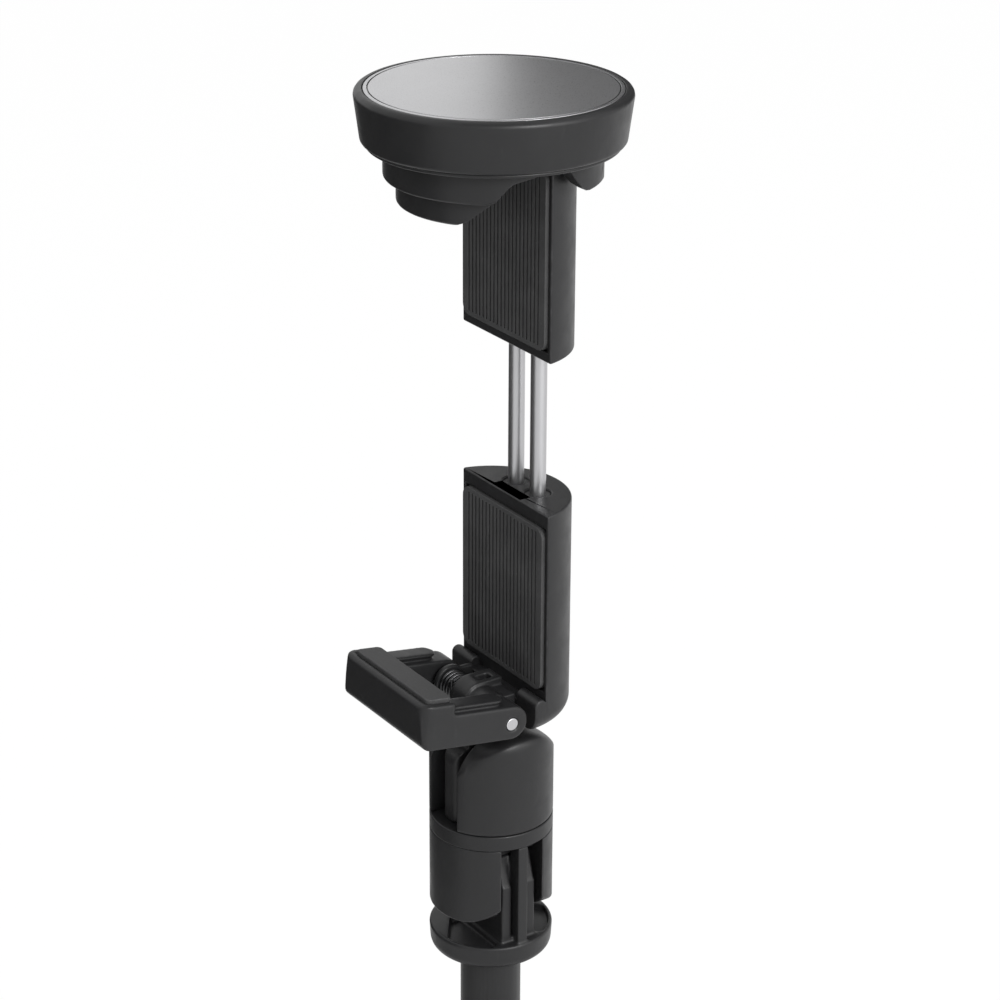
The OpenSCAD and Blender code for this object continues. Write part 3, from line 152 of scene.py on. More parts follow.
class EdgeSizes(PropertyGroup):
    """Rounding of the edges"""

    rim: FloatProperty(
        name="Disc rim", description="Round on the disc's rim",
        unit="LENGTH", min=0, max=0.002, default=0.2 * MM)
    jaw: FloatProperty(
        name="Disc jaw", description="Round on the disc's stepped back and its jaw",
        unit="LENGTH", min=0, max=0.002, default=0.35 * MM)
    shell: FloatProperty(
        name="Clamp shells", description="Round on the clamp halves' edges",
        unit="LENGTH", min=0, max=0.002, default=0.45 * MM)
    rib: FloatProperty(
        name="Pad ribs", description="Round on the ribs of the rubber pads",
        unit="LENGTH", min=0, max=0.0005, default=0.12 * MM)
    rod: FloatProperty(
        name="Guide rods", description="Round on the ends of the guide rods",
        unit="LENGTH", min=0, max=0.001, default=0.12 * MM)
    arm_pad: FloatProperty(
        name="Arm pad", description="Round on the foot arm's rubber pad",
        unit="LENGTH", min=0, max=0.001, default=0.3 * MM)
    arm_pin: FloatProperty(
        name="Pivot pin", description="Round on the ends of the foot arm's pivot pin",
        unit="LENGTH", min=0, max=0.001, default=0.18 * MM)
    band: FloatProperty(
        name="Swivel band", description="Round on the neck's swivel band",
        unit="LENGTH", min=0, max=0.001, default=0.15 * MM)
    yoke: FloatProperty(
        name="Lower yoke", description="Round on the neck's lower yoke",
        unit="LENGTH", min=0, max=0.002, default=0.4 * MM)
    neck_pin: FloatProperty(
        name="Neck pins", description="Round on the ends of the neck's two pins",
        unit="LENGTH", min=0, max=0.001, default=0.12 * MM)
    tube: FloatProperty(
        name="Tubes", description="Round on the ends of the telescopic tubes",
        unit="LENGTH", min=0, max=0.0002, default=0.1 * MM)
    grip: FloatProperty(
        name="Grip and legs", description="Round on the grip, the leg hub and the legs",
        unit="LENGTH", min=0, max=0.002, default=0.35 * MM)
    cap: FloatProperty(
        name="Hub cap", description="Round on the cap under the leg hub",
        unit="LENGTH", min=0, max=0.001, default=0.2 * MM)
    remote: FloatProperty(
        name="Remote", description="Round on the remote's cover",
        unit="LENGTH", min=0, max=0.001, default=0.5 * MM)
    button: FloatProperty(
        name="Button", description="Round on the shutter button",
        unit="LENGTH", min=0, max=0.001, default=0.4 * MM)
    foot: FloatProperty(
        name="Feet", description="Round on the rubber feet",
        unit="LENGTH", min=0, max=0.002, default=0.5 * MM)
    segments: IntProperty(
        name="Segments", description="Steps in each rounded edge",
        min=1, max=6, default=3)


class StudioSettings(PropertyGroup):
    """Lamps, floor and camera"""

    key_power: FloatProperty(
        name="Key lamp", description="Power of the large lamp on the right",
        unit="POWER", min=0, max=200, default=13)
    top_power: FloatProperty(
        name="Top lamp", description="Power of the soft lamp above the front",
        unit="POWER", min=0, max=200, default=4)
    back_power: FloatProperty(
        name="Back lamp", description="Power of the lamp behind the disc",
        unit="POWER", min=0, max=200, default=3)
    streak_power: FloatProperty(
        name="Streak lamp", description="Power of the small lamp that draws the soft highlights",
        unit="POWER", min=0, max=50, default=9)
    room_light: FloatProperty(
        name="Room light", description="Even light from all round",
        min=0, max=2, default=0.9)
    floor_white: FloatProperty(
        name="Floor white", description="How far the floor is seen as plain white",
        subtype="FACTOR", min=0, max=1, default=0.96)
    lens: FloatProperty(
        name="Lens", description="Focal length that frames the head of the stick",
        unit="CAMERA", min=20, max=400, default=101.82)
    spot: FloatVectorProperty(
        name="Camera place", description="Where the camera stands",
        subtype="TRANSLATION", size=3, default=(0.47533, -0.33677, 0.61843))


# Materials


class Finish:
    """A surface finish being wired up on a part's own coordinates."""

    def __init__(self, name, colour, roughness, metallic=0.0, specular=0.5):
        self.material = bpy.data.materials.new(name)
        self.material.use_nodes = True
        self.tree = self.material.node_tree
        self.shader = self.tree.nodes["Principled BSDF"]
        self.shader.inputs["Metallic"].default_value = metallic
        self.shader.inputs["Roughness"].default_value = roughness
        self.shader.inputs["Specular IOR Level"].default_value = specular
        self.shader.inputs["Base Color"].default_value = (*colour, 1)
        self.material.diffuse_color = (*colour, 1)
        self.colour = colour
        self.place = self.tree.nodes.new("ShaderNodeTexCoord").outputs["Object"]
        self.height = None

    def stretched(self, scale):
        """The part's coordinates, stretched so that a pattern runs along one way."""
        mapping = self.tree.nodes.new("ShaderNodeMapping")
        mapping.inputs["Scale"].default_value = scale
        self.tree.links.new(self.place, mapping.inputs["Vector"])
        return mapping.outputs["Vector"]

    def noise(self, scale, detail, along=None):
        node = self.tree.nodes.new("ShaderNodeTexNoise")
        node.inputs["Scale"].default_value = scale
        node.inputs["Detail"].default_value = detail
        self.tree.links.new(along or self.place, node.inputs["Vector"])
        return node.outputs["Fac"]

    def cells(self, scale):
        node = self.tree.nodes.new("ShaderNodeTexVoronoi")
        node.inputs["Scale"].default_value = scale
        self.tree.links.new(self.place, node.inputs["Vector"])
        return node.outputs["Distance"]

    def remap(self, pattern, start, full, least, most):
        """Runs from least to most where a pattern runs from start to full."""
        node = self.tree.nodes.new("ShaderNodeMapRange")
        for socket, number in zip(
                ("From Min", "From Max", "To Min", "To Max"), (start, full, least, most)):
            node.inputs[socket].default_value = number
        self.tree.links.new(pattern, node.inputs["Value"])
        return node.outputs["Result"]

    def math(self, operation, a, b):
        node = self.tree.nodes.new("ShaderNodeMath")
        node.operation = operation
        for socket, value in zip(node.inputs, (a, b)):
            if isinstance(value, (int, float)):
                socket.default_value = value
            else:
                self.tree.links.new(value, socket)
        return node.outputs["Value"]

    def marked(self, name):
        """The share, from 0 to 1, that a piece's mesh carries under a name."""
        strip = self.tree.nodes.new("ShaderNodeAttribute")
        strip.attribute_name = name
        return strip.outputs["Fac"]

    def tint(self, share, colour):
        """Blends the colour so far towards another by a share from 0 to 1."""
        mix = self.tree.nodes.new("ShaderNodeMix")
        mix.data_type = "RGBA"
        base = self.shader.inputs["Base Color"]
        if base.is_linked:
            self.tree.links.new(base.links[0].from_socket, mix.inputs[6])
        else:
            mix.inputs[6].default_value = (*self.colour, 1)
        mix.inputs[7].default_value = (*colour, 1)
        self.tree.links.new(share, mix.inputs[0])
        self.tree.links.new(mix.outputs[2], base)

    def shade(self, pattern, start, full, most, by):
        """Tints towards a lighter or darker colour where a pattern runs from start to full."""
        self.tint(self.remap(pattern, start, full, 0, most), lighter(self.colour, by))

    def rub(self, pattern, start, full, least, most, by):
        """Brightens the rounded edges, broken up by a pattern, and gives how rubbed they are."""
        patchy = self.remap(pattern, start, full, least, most)
        rubbed = self.math("MULTIPLY", self.marked(WEAR), patchy)
        self.tint(rubbed, lighter(self.colour, by))
        return rubbed

    def rough(self, value):
        self.tree.links.new(value, self.shader.inputs["Roughness"])

    def bump(self, height, depth, strength):
        """Adds relief of a real depth in metres on top of what there is."""
        node = self.tree.nodes.new("ShaderNodeBump")
        node.inputs["Strength"].default_value = strength
        node.inputs["Distance"].default_value = depth
        self.tree.links.new(height, node.inputs["Height"])
        if self.height is not None:
            self.tree.links.new(self.height, node.inputs["Normal"])
        self.height = node.outputs["Normal"]
        self.tree.links.new(self.height, self.shader.inputs["Normal"])


def lighter(colour, by):
    return tuple(min(1.0, c * by) for c in colour)


def moulded_plastic(name, colour, roughness=0.4, specular=0.28, grain=1.0):
    """Satin moulded plastic with a fine etched grain, faint handling marks and rubbed edges."""
    finish = Finish(name, colour, roughness, specular=specular)
    broad = finish.noise(scale=55, detail=4)
    finish.shade(broad, start=0.35, full=0.7, most=0.35, by=1.35)
    marks = finish.noise(scale=1, detail=3, along=finish.stretched((900, 900, 90)))
    finish.shade(marks, start=0.66, full=0.78, most=0.3, by=2.2)
    rubbed = finish.rub(
        finish.noise(scale=420, detail=3), start=0.42, full=0.68, least=0.1, most=0.8, by=2.6)
    mottle = finish.remap(
        finish.noise(scale=240, detail=3), start=0.3, full=0.7,
        least=roughness - 0.05, most=roughness + 0.06)
    finish.rough(finish.math("SUBTRACT", mottle, finish.math("MULTIPLY", rubbed, 0.1)))
    finish.bump(finish.noise(scale=4200, detail=2), depth=0.03 * MM * grain, strength=0.35)
    finish.bump(broad, depth=0.15 * MM, strength=0.12)
    return finish.material


def soft_rubber(name, colour):
    """Matt silicone rubber with a dusty bloom and a soft, uneven skin."""
    finish = Finish(name, colour, roughness=0.66, specular=0.3)
    bloom = finish.noise(scale=130, detail=4)
    finish.shade(bloom, start=0.4, full=0.72, most=0.5, by=1.6)
    specks = finish.noise(scale=2600, detail=1)
    finish.shade(specks, start=0.68, full=0.74, most=0.25, by=4)
    finish.rub(
        finish.noise(scale=500, detail=2), start=0.4, full=0.7, least=0.1, most=0.7, by=2)
    finish.rough(finish.remap(bloom, start=0.3, full=0.7, least=0.6, most=0.76))
    finish.bump(finish.noise(scale=3000, detail=3), depth=0.04 * MM, strength=0.4)
    return finish.material


def blasted_metal(name, colour):
    """Bead-blasted and clear-anodised plate: a fine grain, and painted shade, nearly black, where
    the groove's floor is marked.
    """
    finish = Finish(name, colour, roughness=0.36, metallic=1.0)
    grain = finish.noise(scale=3600, detail=2)
    cloud = finish.noise(scale=70, detail=3)
    finish.shade(grain, start=0.35, full=0.68, most=0.4, by=0.7)
    finish.shade(cloud, start=0.4, full=0.7, most=0.22, by=1.1)
    finish.rub(
        finish.noise(scale=600, detail=2), start=0.35, full=0.7, least=0.2, most=0.9, by=1.1)
    # Painted shade: the groove's floor is tinted nearly black, standing in for shade in the
    # recess
    finish.tint(finish.marked(PAINTED_GROOVE_SHADE), lighter(colour, by=0.06))
    finish.rough(finish.remap(grain, start=0.3, full=0.7, least=0.26, most=0.38))
    finish.bump(grain, depth=0.02 * MM, strength=0.3)
    return finish.material


def drawn_metal(name, colour, roughness, lines, metallic=1.0, specular=0.5, contrast=0.4):
    """Metal drawn or turned one way: fine lines, slight stains and rubbed edges."""
    finish = Finish(name, colour, roughness, metallic=metallic, specular=specular)
    drawn = finish.noise(scale=1, detail=3, along=finish.stretched(lines))
    finish.shade(drawn, start=0.4, full=0.66, most=contrast, by=0.72)
    stain = finish.noise(scale=160, detail=3)
    finish.shade(stain, start=0.55, full=0.75, most=contrast * 0.6, by=0.6)
    finish.rub(
        finish.noise(scale=500, detail=2), start=0.35, full=0.7, least=0.2, most=0.9, by=1.5)
    finish.rough(finish.remap(
        drawn, start=0.35, full=0.7, least=roughness - 0.03, most=roughness + 0.2 * contrast))
    finish.bump(drawn, depth=0.01 * MM, strength=contrast * 0.6)
    return finish.material


def plated_metal(name, colour):
    """Bright nickel with faint orange peel."""
    finish = Finish(name, colour, roughness=0.18, metallic=1.0)
    peel = finish.noise(scale=700, detail=2)
    finish.shade(finish.noise(scale=90, detail=3), start=0.5, full=0.75, most=0.35, by=0.7)
    finish.rough(finish.remap(peel, start=0.3, full=0.7, least=0.12, most=0.28))
    finish.bump(peel, depth=0.01 * MM, strength=0.3)
    return finish.material


def solder_mask(name, colour):
    """Green lacquer over copper tracks."""
    finish = Finish(name, colour, roughness=0.3)
    tracks = finish.cells(scale=420)
    finish.shade(tracks, start=0.42, full=0.5, most=0.7, by=1.9)
    finish.rough(finish.remap(
        finish.noise(scale=300, detail=2), start=0.3, full=0.7, least=0.22, most=0.4))
    finish.bump(tracks, depth=0.02 * MM, strength=0.3)
    return finish.material


finishes = {}


def make_finishes(colours):
    """Every finish of the stick, by the material slot it stands for."""
    finishes.update({
        "black_plastic": moulded_plastic("Black moulding", tuple(colours.moulding)),
        "black_rubber": soft_rubber("Black rubber", tuple(colours.rubber)),
        "disc_metal": blasted_metal("Blasted plate", tuple(colours.plate)),
        "rod_steel": drawn_metal(
            "Satin steel", tuple(colours.steel), roughness=0.36, lines=(2600, 2600, 20),
            contrast=0.12),
        "screw_steel": drawn_metal(
            "Blackened steel", tuple(colours.screw), roughness=0.38, lines=(900, 900, 900)),
        "spring_steel": drawn_metal(
            "Oiled spring wire", tuple(colours.spring), roughness=0.36,
            lines=(700, 3000, 3000)),
        "magnet_metal": plated_metal("Nickel plate", tuple(colours.nickel)),
        "tube_metal": drawn_metal(
            "Black anodised tube", tuple(colours.tube), roughness=0.4, lines=(2200, 2200, 50),
            metallic=0.0, specular=0.3),
        "inner_plastic": moulded_plastic(
            "Inner moulding", tuple(colours.inner), roughness=0.52, specular=0.5, grain=0.6),
        "board_green": solder_mask("Circuit board", tuple(colours.board)),
    })


# Pieces


def mesh_of(bm, name):
    """Keeps a surface as a mesh, and lets the surface go."""
    mesh = bpy.data.meshes.new(name)
    bm.to_mesh(mesh)
    bm.free()
    return mesh


def placed(name, data):
    """An object of a mesh, a lamp or a camera, in the scene."""
    thing = bpy.data.objects.new(name, data)
    bpy.context.scene.collection.objects.link(thing)
    return thing


def slot_of(node):
    for part in frame["record"]["subparts"]:
        if part["node"] == node:
            return part["material_slot"]
    raise ValueError(node)


def body_of(node):
    return frame["nodes"][node]["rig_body"]


def middle(node):
    low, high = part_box(node)
    return (low + high) / 2


def copy_of(node):
    """A CAD piece's surface with its triangles merged into whole faces."""
    bm = bmesh.new()
    bm.from_mesh(frame["nodes"][node].data)
    bmesh.ops.remove_doubles(bm, verts=bm.verts, dist=WELD)
    bmesh.ops.dissolve_limit(bm, angle_limit=FLAT, verts=bm.verts, edges=bm.edges)
    return bm


def round_edges(bm, size, segments):
    """Rounds the outer edges of a surface, and marks the rounded strips as worn."""
    wear = bm.verts.layers.float.new(WEAR)
    edges = [
        e for e in bm.edges
        if e.is_manifold and e.is_convex and e.calc_face_angle() > SHARP]
    made = bmesh.ops.bevel(
        bm, geom=edges, offset=size, offset_type="OFFSET", segments=segments, profile=0.5,
        affect="EDGES", clamp_overlap=False, material=-1)
    strip = set(made["faces"])
    for v in made["verts"]:
        if v.is_valid and all(f in strip for f in v.link_faces):
            v[wear] = 1.0


def piece_from(bm, name, body, slot, replaced, finish=None, crease=CREASE):
    """Turns a surface into a finished piece that rides on a body."""
    if bm.verts.layers.float.get(WEAR) is None:
        bm.verts.layers.float.new(WEAR)
    bmesh.ops.remove_doubles(bm, verts=bm.verts, dist=FINE_WELD)
    for f in bm.faces:
        f.smooth = True
    for e in bm.edges:
        e.smooth = e.is_manifold and e.calc_face_angle() < crease
    piece = placed(name, mesh_of(bm, name))
    piece.data.materials.append(finishes[finish or slot])
    even = piece.modifiers.new("Even shading", "WEIGHTED_NORMAL")
    even.keep_sharp = True
    even.weight = FACE_WEIGHT
    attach(piece, body)
    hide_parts(*replaced)


def moulding(node, name, size):
    """A CAD piece with its edges rounded, standing for it."""
    bm = copy_of(node)
    if size:
        round_edges(bm, size, bpy.context.scene.stick_edges.segments)
    piece_from(bm, name, body_of(node), slot_of(node), (node,))


def melt(bm, verts, rounds):
    """Smooths some points of a surface, round after round."""
    for _ in range(rounds):
        bmesh.ops.smooth_vert(
            bm, verts=verts, factor=0.5, use_axis_x=True, use_axis_y=True, use_axis_z=True)


def softened(node, name, rounds=MELT_ROUNDS, soft=None):
    """A CAD piece with all its edges melted a little, as a moulding comes out of its mould.

    Where soft says yes to a point, the surface is melted much further.
    """
    mesh = mesh_of(copy_of(node), name)
    blank = placed(name, mesh)
    even = blank.modifiers.new("Even faces", "REMESH")
    even.mode = "VOXEL"
    even.voxel_size = MELT_GRAIN
    ready = blank.evaluated_get(bpy.context.evaluated_depsgraph_get())
    bm = bmesh.new()
    bm.from_mesh(ready.to_mesh())
    ready.to_mesh_clear()
    bpy.data.objects.remove(blank)
    bpy.data.meshes.remove(mesh)
    melt(bm, list(bm.verts), rounds)
    if soft:
        melt(bm, [v for v in bm.verts if soft(v.co)], SOFT_ROUNDS)
    piece_from(bm, name, body_of(node), slot_of(node), (node,), crease=MELTED_CREASE)


def coat(*nodes):
    """Gives CAD pieces that stay as they are their own finish."""
    for node in nodes:
        materials = frame["nodes"][node].data.materials
        materials.clear()
        materials.append(finishes[slot_of(node)])


def turned(profile, centre, steps):
    """A surface spun about an upright axis from a profile of (radius, height) points."""
    bm = bmesh.new()
    verts = [bm.verts.new(centre + Vector((r, 0, h))) for r, h in profile]
    edges = [bm.edges.new(pair) for pair in zip(verts, verts[1:])]
    bmesh.ops.spin(
        bm, geom=verts + edges, cent=centre, axis=Vector((0, 0, 1)), angle=math.tau,
        steps=steps, use_merge=True)
    bmesh.ops.remove_doubles(bm, verts=bm.verts, dist=WELD)
    bmesh.ops.recalc_face_normals(bm, faces=bm.faces)
    return bm


def points_of(geometry):
    return [v for v in geometry if isinstance(v, bmesh.types.BMVert)]


def rim_of(bm, points):
    """The edges that join some points to each other."""
    ends = set(points)
    return [e for e in bm.edges if ends.issuperset(e.verts)]


class SELFIE_STICK_OT_magnetic_disc(Operator):
    """Make the disc's metal plate, its rim and the stepped back with the jaw"""

    bl_idname = "selfie_stick.magnetic_disc"
    bl_label = "Magnetic Disc"

    def execute(self, context):
        edges = context.scene.stick_edges
        self.plate()
        moulding("rim", "disc_rim", edges.rim)
        moulding("disc_back", "disc_jaw", edges.jaw)
        coat("magnet_carrier", "magnets", "shunt_ring", "disc_screws", "disc_washers",
             "disc_hinge_pin")
        return {"FINISHED"}

    def plate(self):
        """The metal face, with a groove just inside its rounded edge, the groove's floor marked
        for painted shade.
        """
        rub_drop, rub_width = 0.2 * MM, 0.25 * MM
        near_floor = 0.01 * MM
        low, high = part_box("face_plate")
        centre = Vector(((low.x + high.x) / 2, (low.y + high.y) / 2, 0))
        r = (high.x - low.x) / 2
        top, bottom = high.z, low.z
        groove = r - GROOVE_IN * MM
        profile = [(0, top), (r - MIDDLE_IN * MM, top)]
        for start, points in ((groove, GROOVE), (r, ROUNDED_EDGE)):
            profile += [(start - inwards * MM, top - drop * MM) for inwards, drop in points]
        profile += [(r, bottom), (0, bottom)]
        bm = turned(profile, centre, PLATE_STEPS)
        wear = bm.verts.layers.float.new(WEAR)
        painted_groove_shade = bm.verts.layers.float.new(PAINTED_GROOVE_SHADE)
        for v in bm.verts:
            reach = (v.co.xy - centre.xy).length
            if v.co.z > top - rub_drop and reach > r - rub_width:
                v[wear] = 1.0
            # Points on the groove's floor get the mark for painted shade
            if abs(v.co.z - top + GROOVE_DROP * MM) < near_floor:
                v[painted_groove_shade] = 1.0
        piece_from(bm, "disc_plate", "disc", "disc_metal", ("face_plate",))


class SELFIE_STICK_OT_clamp_halves(Operator):
    """Make the two halves of the phone clamp, their ribbed pads and the guide rods"""

    bl_idname = "selfie_stick.clamp_halves"
    bl_label = "Clamp Halves"

    def execute(self, context):
        edges = context.scene.stick_edges
        moulding("upper_clamp_shell", "clamp_upper_half", edges.shell)
        moulding("lower_clamp_shell", "clamp_lower_half", edges.shell)
        moulding("upper_pad", "pad_upper", edges.rib)
        moulding("lower_pad", "pad_lower", edges.rib)
        moulding("guide_rods", "clamp_guide_rods", edges.rod)
        coat("upper_clamp_plate", "lower_clamp_plate", "rod_stops", "rod_bushes", "rod_brake")
        return {"FINISHED"}


class SELFIE_STICK_OT_foot_arm(Operator):
    """Make the folding foot arm with its pad, pivot pin and torsion spring"""

    bl_idname = "selfie_stick.foot_arm"
    bl_label = "Foot Arm"

    def execute(self, context):
        edges = context.scene.stick_edges
        softened("foot_arm", "arm_fork", ARM_ROUNDS)
        moulding("foot_arm_pad", "arm_pad", edges.arm_pad)
        moulding("foot_pin", "arm_pivot_pin", edges.arm_pin)
        self.spring()
        return {"FINISHED"}

    def spring(self):
        """The torsion spring: round wire wound about the pivot, with a leg at each end."""
        wire, radius = 0.35 * MM, 3.1 * MM
        front_leg, back_leg = -2.4 * MM, 3.6 * MM
        wire_sides, turns, steps_a_turn = 10, 4, 24
        low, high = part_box("foot_spring")
        pin = middle("foot_pin")
        run = high.x - low.x - 2 * wire
        steps = steps_a_turn * turns
        bm = bmesh.new()
        start = Vector((low.x + wire, pin.y - radius, pin.z))
        ring = bmesh.ops.create_circle(
            bm, cap_ends=False, radius=wire, segments=wire_sides,
            matrix=Matrix.Translation(start))["verts"]
        rim = rim_of(bm, ring)
        self.leg(bm, rim, front_leg)
        wound = bmesh.ops.spin(
            bm, geom=ring + rim, cent=pin, axis=Vector((-1, 0, 0)),
            dvec=Vector((run / steps, 0, 0)), angle=math.tau * turns, steps=steps)
        self.leg(bm, rim_of(bm, points_of(wound["geom_last"])), back_leg)
        bmesh.ops.recalc_face_normals(bm, faces=bm.faces)
        piece_from(
            bm, "arm_spring", body_of("foot_spring"), "rod_steel", ("foot_spring",),
            "spring_steel", WIRE_CREASE)

    def leg(self, bm, rim, rise):
        """Draws the wire straight on from its rim, and closes its end."""
        drawn = bmesh.ops.extrude_edge_only(bm, edges=rim)
        tip = points_of(drawn["geom"])
        bmesh.ops.translate(bm, verts=tip, vec=Vector((0, 0, rise)))
        bmesh.ops.contextual_create(bm, geom=tip)


class SELFIE_STICK_OT_folding_neck(Operator):
    """Make the hinge block, the two yokes, the swivel band and the collar"""

    bl_idname = "selfie_stick.folding_neck"
    bl_label = "Folding Neck"

    def execute(self, context):
        edges = context.scene.stick_edges
        softened("hinge_block", "neck_hinge_block")
        softened("upper_yoke", "neck_upper_yoke", soft=self.cheeks())
        moulding("swivel_band", "neck_swivel_band", edges.band)
        moulding("lower_yoke", "neck_lower_yoke", edges.yoke)
        softened("neck_post", "neck_collar")
        moulding("neck_pin", "neck_lower_pin", edges.neck_pin)
        moulding("tilt_pin", "neck_upper_pin", edges.neck_pin)
        coat("hinge_screws", "tilt_washers", "swivel_bolt", "neck_washers")
        return {"FINISHED"}

    def cheeks(self):
        """Tells the upper yoke's cheeks from its slot and from the pin's hole."""
        below_pin, off_slot, round_pin = 4 * MM, 7.6 * MM, 3.6 * MM
        pin = middle("tilt_pin")
        return lambda p: (
            p.z > pin.z - below_pin and abs(p.x) > off_slot
            and (p.yz - pin.yz).length > round_pin)


class SELFIE_STICK_OT_pole(Operator):
    """Make the four telescopic tubes and their friction sleeves"""

    bl_idname = "selfie_stick.pole"
    bl_label = "Telescopic Pole"

    def execute(self, context):
        edges = context.scene.stick_edges
        for number in (1, 2, 3, 4):
            moulding(f"tube_{number}", f"pole_tube_{number}", edges.tube)
        coat("sleeve_1", "sleeve_2", "sleeve_3")
        return {"FINISHED"}


class SELFIE_STICK_OT_grip(Operator):
    """Make the two grip shells, the ring at their top and the leg hub"""

    bl_idname = "selfie_stick.grip"
    bl_label = "Grip"

    def execute(self, context):
        edges = context.scene.stick_edges
        moulding("grip_front", "grip_front_shell", edges.grip)
        moulding("grip_back", "grip_back_shell", edges.grip)
        moulding("grip_ring", "grip_top_ring", edges.grip)
        moulding("leg_hub", "grip_leg_hub", edges.grip)
        moulding("hub_cap", "grip_hub_cap", edges.cap)
        coat("grip_screws")
        return {"FINISHED"}


class SELFIE_STICK_OT_remote(Operator):
    """Make the docked remote control with its shutter button"""

    bl_idname = "selfie_stick.remote"
    bl_label = "Remote"

    def execute(self, context):
        edges = context.scene.stick_edges
        moulding("remote_lid", "remote_cover", edges.remote)
        moulding("remote_button", "remote_shutter_button", edges.button)
        coat("remote_base", "remote_board", "remote_cell")
        return {"FINISHED"}


class SELFIE_STICK_OT_legs(Operator):
    """Make the three folding legs with their rubber feet and pins"""

    bl_idname = "selfie_stick.legs"
    bl_label = "Folding Legs"

    def execute(self, context):
        edges = context.scene.stick_edges
        for number in (1, 2, 3):
            moulding(f"leg_{number}", f"leg_shell_{number}", edges.grip)
            moulding(f"foot_{number}", f"leg_foot_{number}", edges.foot)
        coat("leg_pins")
        return {"FINISHED"}


# Stage


def aimed(place, target):
    """A turn that points an object's -Z at a target."""
    turn = (Vector(target) - Vector(place)).to_track_quat("-Z", "Y").to_matrix().to_4x4()
    return Matrix.Translation(place) @ turn


def softbox(name, power, place, target, size):
    lamp = bpy.data.lights.new(name, "AREA")
    lamp.shape = "RECTANGLE"
    lamp.size, lamp.size_y = size
    lamp.energy = power
    placed(name, lamp).matrix_world = aimed(place, target)


def seen_directly(tree):
    """1 on camera, mirror and see-through rays, and 0 on the light that falls on things."""
    path = tree.nodes.new("ShaderNodeLightPath")
    share = path.outputs["Is Camera Ray"]
    for kind in ("Is Glossy Ray", "Is Transmission Ray"):
        most = tree.nodes.new("ShaderNodeMath")
        most.operation = "MAXIMUM"
        tree.links.new(share, most.inputs[0])
        tree.links.new(path.outputs[kind], most.inputs[1])
        share = most.outputs["Value"]
    return share


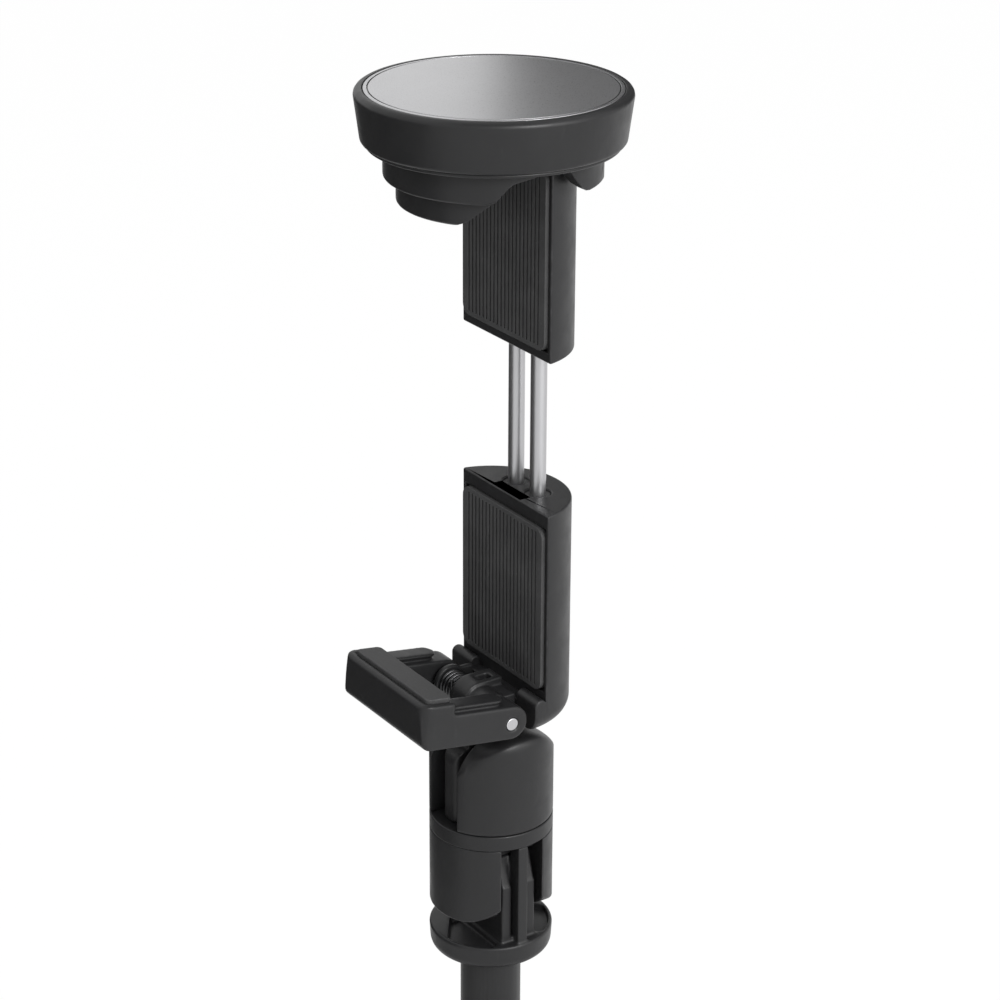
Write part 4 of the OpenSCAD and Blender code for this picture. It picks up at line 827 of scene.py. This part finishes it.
class SELFIE_STICK_OT_studio(Operator):
    """Lay the pale floor and set the lamps and the camera"""

    bl_idname = "selfie_stick.studio"
    bl_label = "Studio"

    def execute(self, context):
        settings = context.scene.stick_studio
        self.floor(settings.floor_white)
        self.room(context.scene, settings.room_light)
        self.lamps(settings)
        self.cards()
        self.camera(context.scene, settings)
        return {"FINISHED"}

    def lamps(self, settings):
        """Four soft lamps, by name, power, place, and width and height, aimed at the head."""
        head = (0, -0.026, 0.38)
        for name, power, place, size in (
                ("Key", settings.key_power, (1.35, 0.3, 0.8), (1.3, 1.3)),
                ("Top", settings.top_power, (0.1, -0.7, 1.9), (1.4, 1.0)),
                ("Back", settings.back_power, (-0.9, 1.2, 1.3), (1.0, 0.8)),
                ("Streak", settings.streak_power, (1.04, -0.015, 0.98), (0.3, 0.3))):
            softbox(name, power, place, head, size)

    def cards(self):
        """Three dark cards, by name, place, target, width and height, and how bright they are."""
        for name, place, target, size, level in (
                ("card_left", (-0.314, -0.305, 0.2), (0, -0.026, 0.3), (1.1, 0.5), 0.07),
                ("card_plate", (-0.08, 0.255, 0.564), (0.17, 0.091, 0.444), (0.38, 0.3), 0.06),
                ("card_front", (0.225, -0.184, 0.95), (0, -0.026, 0.46), (0.5, 0.5), 0.08)):
            self.card(name, place, target, size, level)

    def floor(self, white_share):
        """A pale floor that takes shadows and is seen as nearly white."""
        half_side, cells, drop = 12, 8, 0.2 * MM
        pale, paler = (0.86, 0.86, 0.86), (0.88, 0.88, 0.88)
        bm = bmesh.new()
        bmesh.ops.create_grid(bm, x_segments=cells, y_segments=cells, size=half_side)
        floor = placed("studio_floor", mesh_of(bm, "Studio floor"))
        floor.location.z = -drop
        finish = Finish("Pale floor", pale, roughness=0.9, specular=0.1)
        cloud = finish.noise(scale=3, detail=3)
        finish.tint(finish.remap(cloud, start=0.3, full=0.7, least=0, most=1), paler)
        finish.bump(finish.noise(scale=900, detail=2), depth=0.05 * MM, strength=0.1)
        white = finish.tree.nodes.new("ShaderNodeEmission")
        mix = finish.tree.nodes.new("ShaderNodeMixShader")
        seen_white = finish.math("MULTIPLY", seen_directly(finish.tree), white_share)
        finish.tree.links.new(seen_white, mix.inputs["Fac"])
        finish.tree.links.new(finish.shader.outputs["BSDF"], mix.inputs[1])
        finish.tree.links.new(white.outputs["Emission"], mix.inputs[2])
        surface = finish.tree.nodes["Material Output"].inputs["Surface"]
        finish.tree.links.new(mix.outputs["Shader"], surface)
        floor.data.materials.append(finish.material)

    def card(self, name, place, target, size, level):
        """A dark card that only reflections see, to shade one side as in a photo studio."""
        cells = 4
        bm = bmesh.new()
        bmesh.ops.create_grid(bm, x_segments=cells, y_segments=cells, size=0.5)
        bmesh.ops.scale(bm, vec=(*size, 1), verts=bm.verts)
        card = placed(name, mesh_of(bm, name))
        card.matrix_world = aimed(place, target)
        finish = Finish("Card " + name, (0, 0, 0), roughness=1.0, specular=0.0)
        finish.shader.inputs["Emission Color"].default_value = (1, 1, 1, 1)
        finish.shader.inputs["Emission Strength"].default_value = level
        card.data.materials.append(finish.material)
        card.visible_camera = card.visible_diffuse = card.visible_shadow = False
        card.visible_transmission = False

    def room(self, scene, strength):
        """Even white light, and plain white where the room itself is seen."""
        world = bpy.data.worlds.new("Studio room")
        scene.world = world
        world.use_nodes = True
        tree = world.node_tree
        background = tree.nodes["Background"]
        background.inputs["Color"].default_value = (1, 1, 1, 1)
        level = tree.nodes.new("ShaderNodeMapRange")
        level.inputs["To Min"].default_value = strength
        level.inputs["To Max"].default_value = 1.0
        tree.links.new(seen_directly(tree), level.inputs["Value"])
        tree.links.new(level.outputs["Result"], background.inputs["Strength"])

    def camera(self, scene, settings):
        """The camera, turned about Z, then down from level, then about its own view."""
        heading, down, roll = (math.radians(angle) for angle in (56.682, 22.710, 0.290))
        camera = bpy.data.cameras.new("Studio camera")
        camera.lens = settings.lens
        camera.clip_start, camera.clip_end = 0.01, 60
        stand = placed("Studio camera", camera)
        turn = (
            Matrix.Rotation(heading, 4, "Z")
            @ Matrix.Rotation(math.pi / 2 - down, 4, "X")
            @ Matrix.Rotation(roll, 4, "Z"))
        stand.matrix_world = Matrix.Translation(Vector(settings.spot)) @ turn
        scene.camera = stand
        scene.view_settings.view_transform = "Standard"


# Panel


OPERATORS = (
    SELFIE_STICK_OT_magnetic_disc,
    SELFIE_STICK_OT_clamp_halves,
    SELFIE_STICK_OT_foot_arm,
    SELFIE_STICK_OT_folding_neck,
    SELFIE_STICK_OT_pole,
    SELFIE_STICK_OT_grip,
    SELFIE_STICK_OT_remote,
    SELFIE_STICK_OT_legs,
    SELFIE_STICK_OT_studio,
)


class SELFIE_STICK_PT_panel(Panel):
    """Lists the stick's colours, edge sizes and pieces"""

    bl_label = "Selfie Stick Tripod"
    bl_space_type = "VIEW_3D"
    bl_region_type = "UI"
    bl_category = "Selfie Stick"

    def draw(self, context):
        scene = context.scene
        for settings in (scene.stick_colours, scene.stick_edges, scene.stick_studio):
            box = self.layout.box()
            for name in settings.__annotations__:
                box.prop(settings, name)
        column = self.layout.column()
        for operator in OPERATORS:
            column.operator(operator.bl_idname)


CLASSES = (StickColours, EdgeSizes, StudioSettings, *OPERATORS, SELFIE_STICK_PT_panel)


def register():
    for cls in CLASSES:
        bpy.utils.register_class(cls)
    bpy.types.Scene.stick_colours = PointerProperty(type=StickColours)
    bpy.types.Scene.stick_edges = PointerProperty(type=EdgeSizes)
    bpy.types.Scene.stick_studio = PointerProperty(type=StudioSettings)


def unregister():
    del bpy.types.Scene.stick_colours
    del bpy.types.Scene.stick_edges
    del bpy.types.Scene.stick_studio
    for cls in reversed(CLASSES):
        bpy.utils.unregister_class(cls)


def main():
    register()
    make_finishes(bpy.context.scene.stick_colours)
    bpy.ops.selfie_stick.magnetic_disc()
    bpy.ops.selfie_stick.clamp_halves()
    bpy.ops.selfie_stick.foot_arm()
    bpy.ops.selfie_stick.folding_neck()
    bpy.ops.selfie_stick.pole()
    bpy.ops.selfie_stick.grip()
    bpy.ops.selfie_stick.remote()
    bpy.ops.selfie_stick.legs()
    bpy.ops.selfie_stick.studio()


if __name__ == "__main__":
    main()
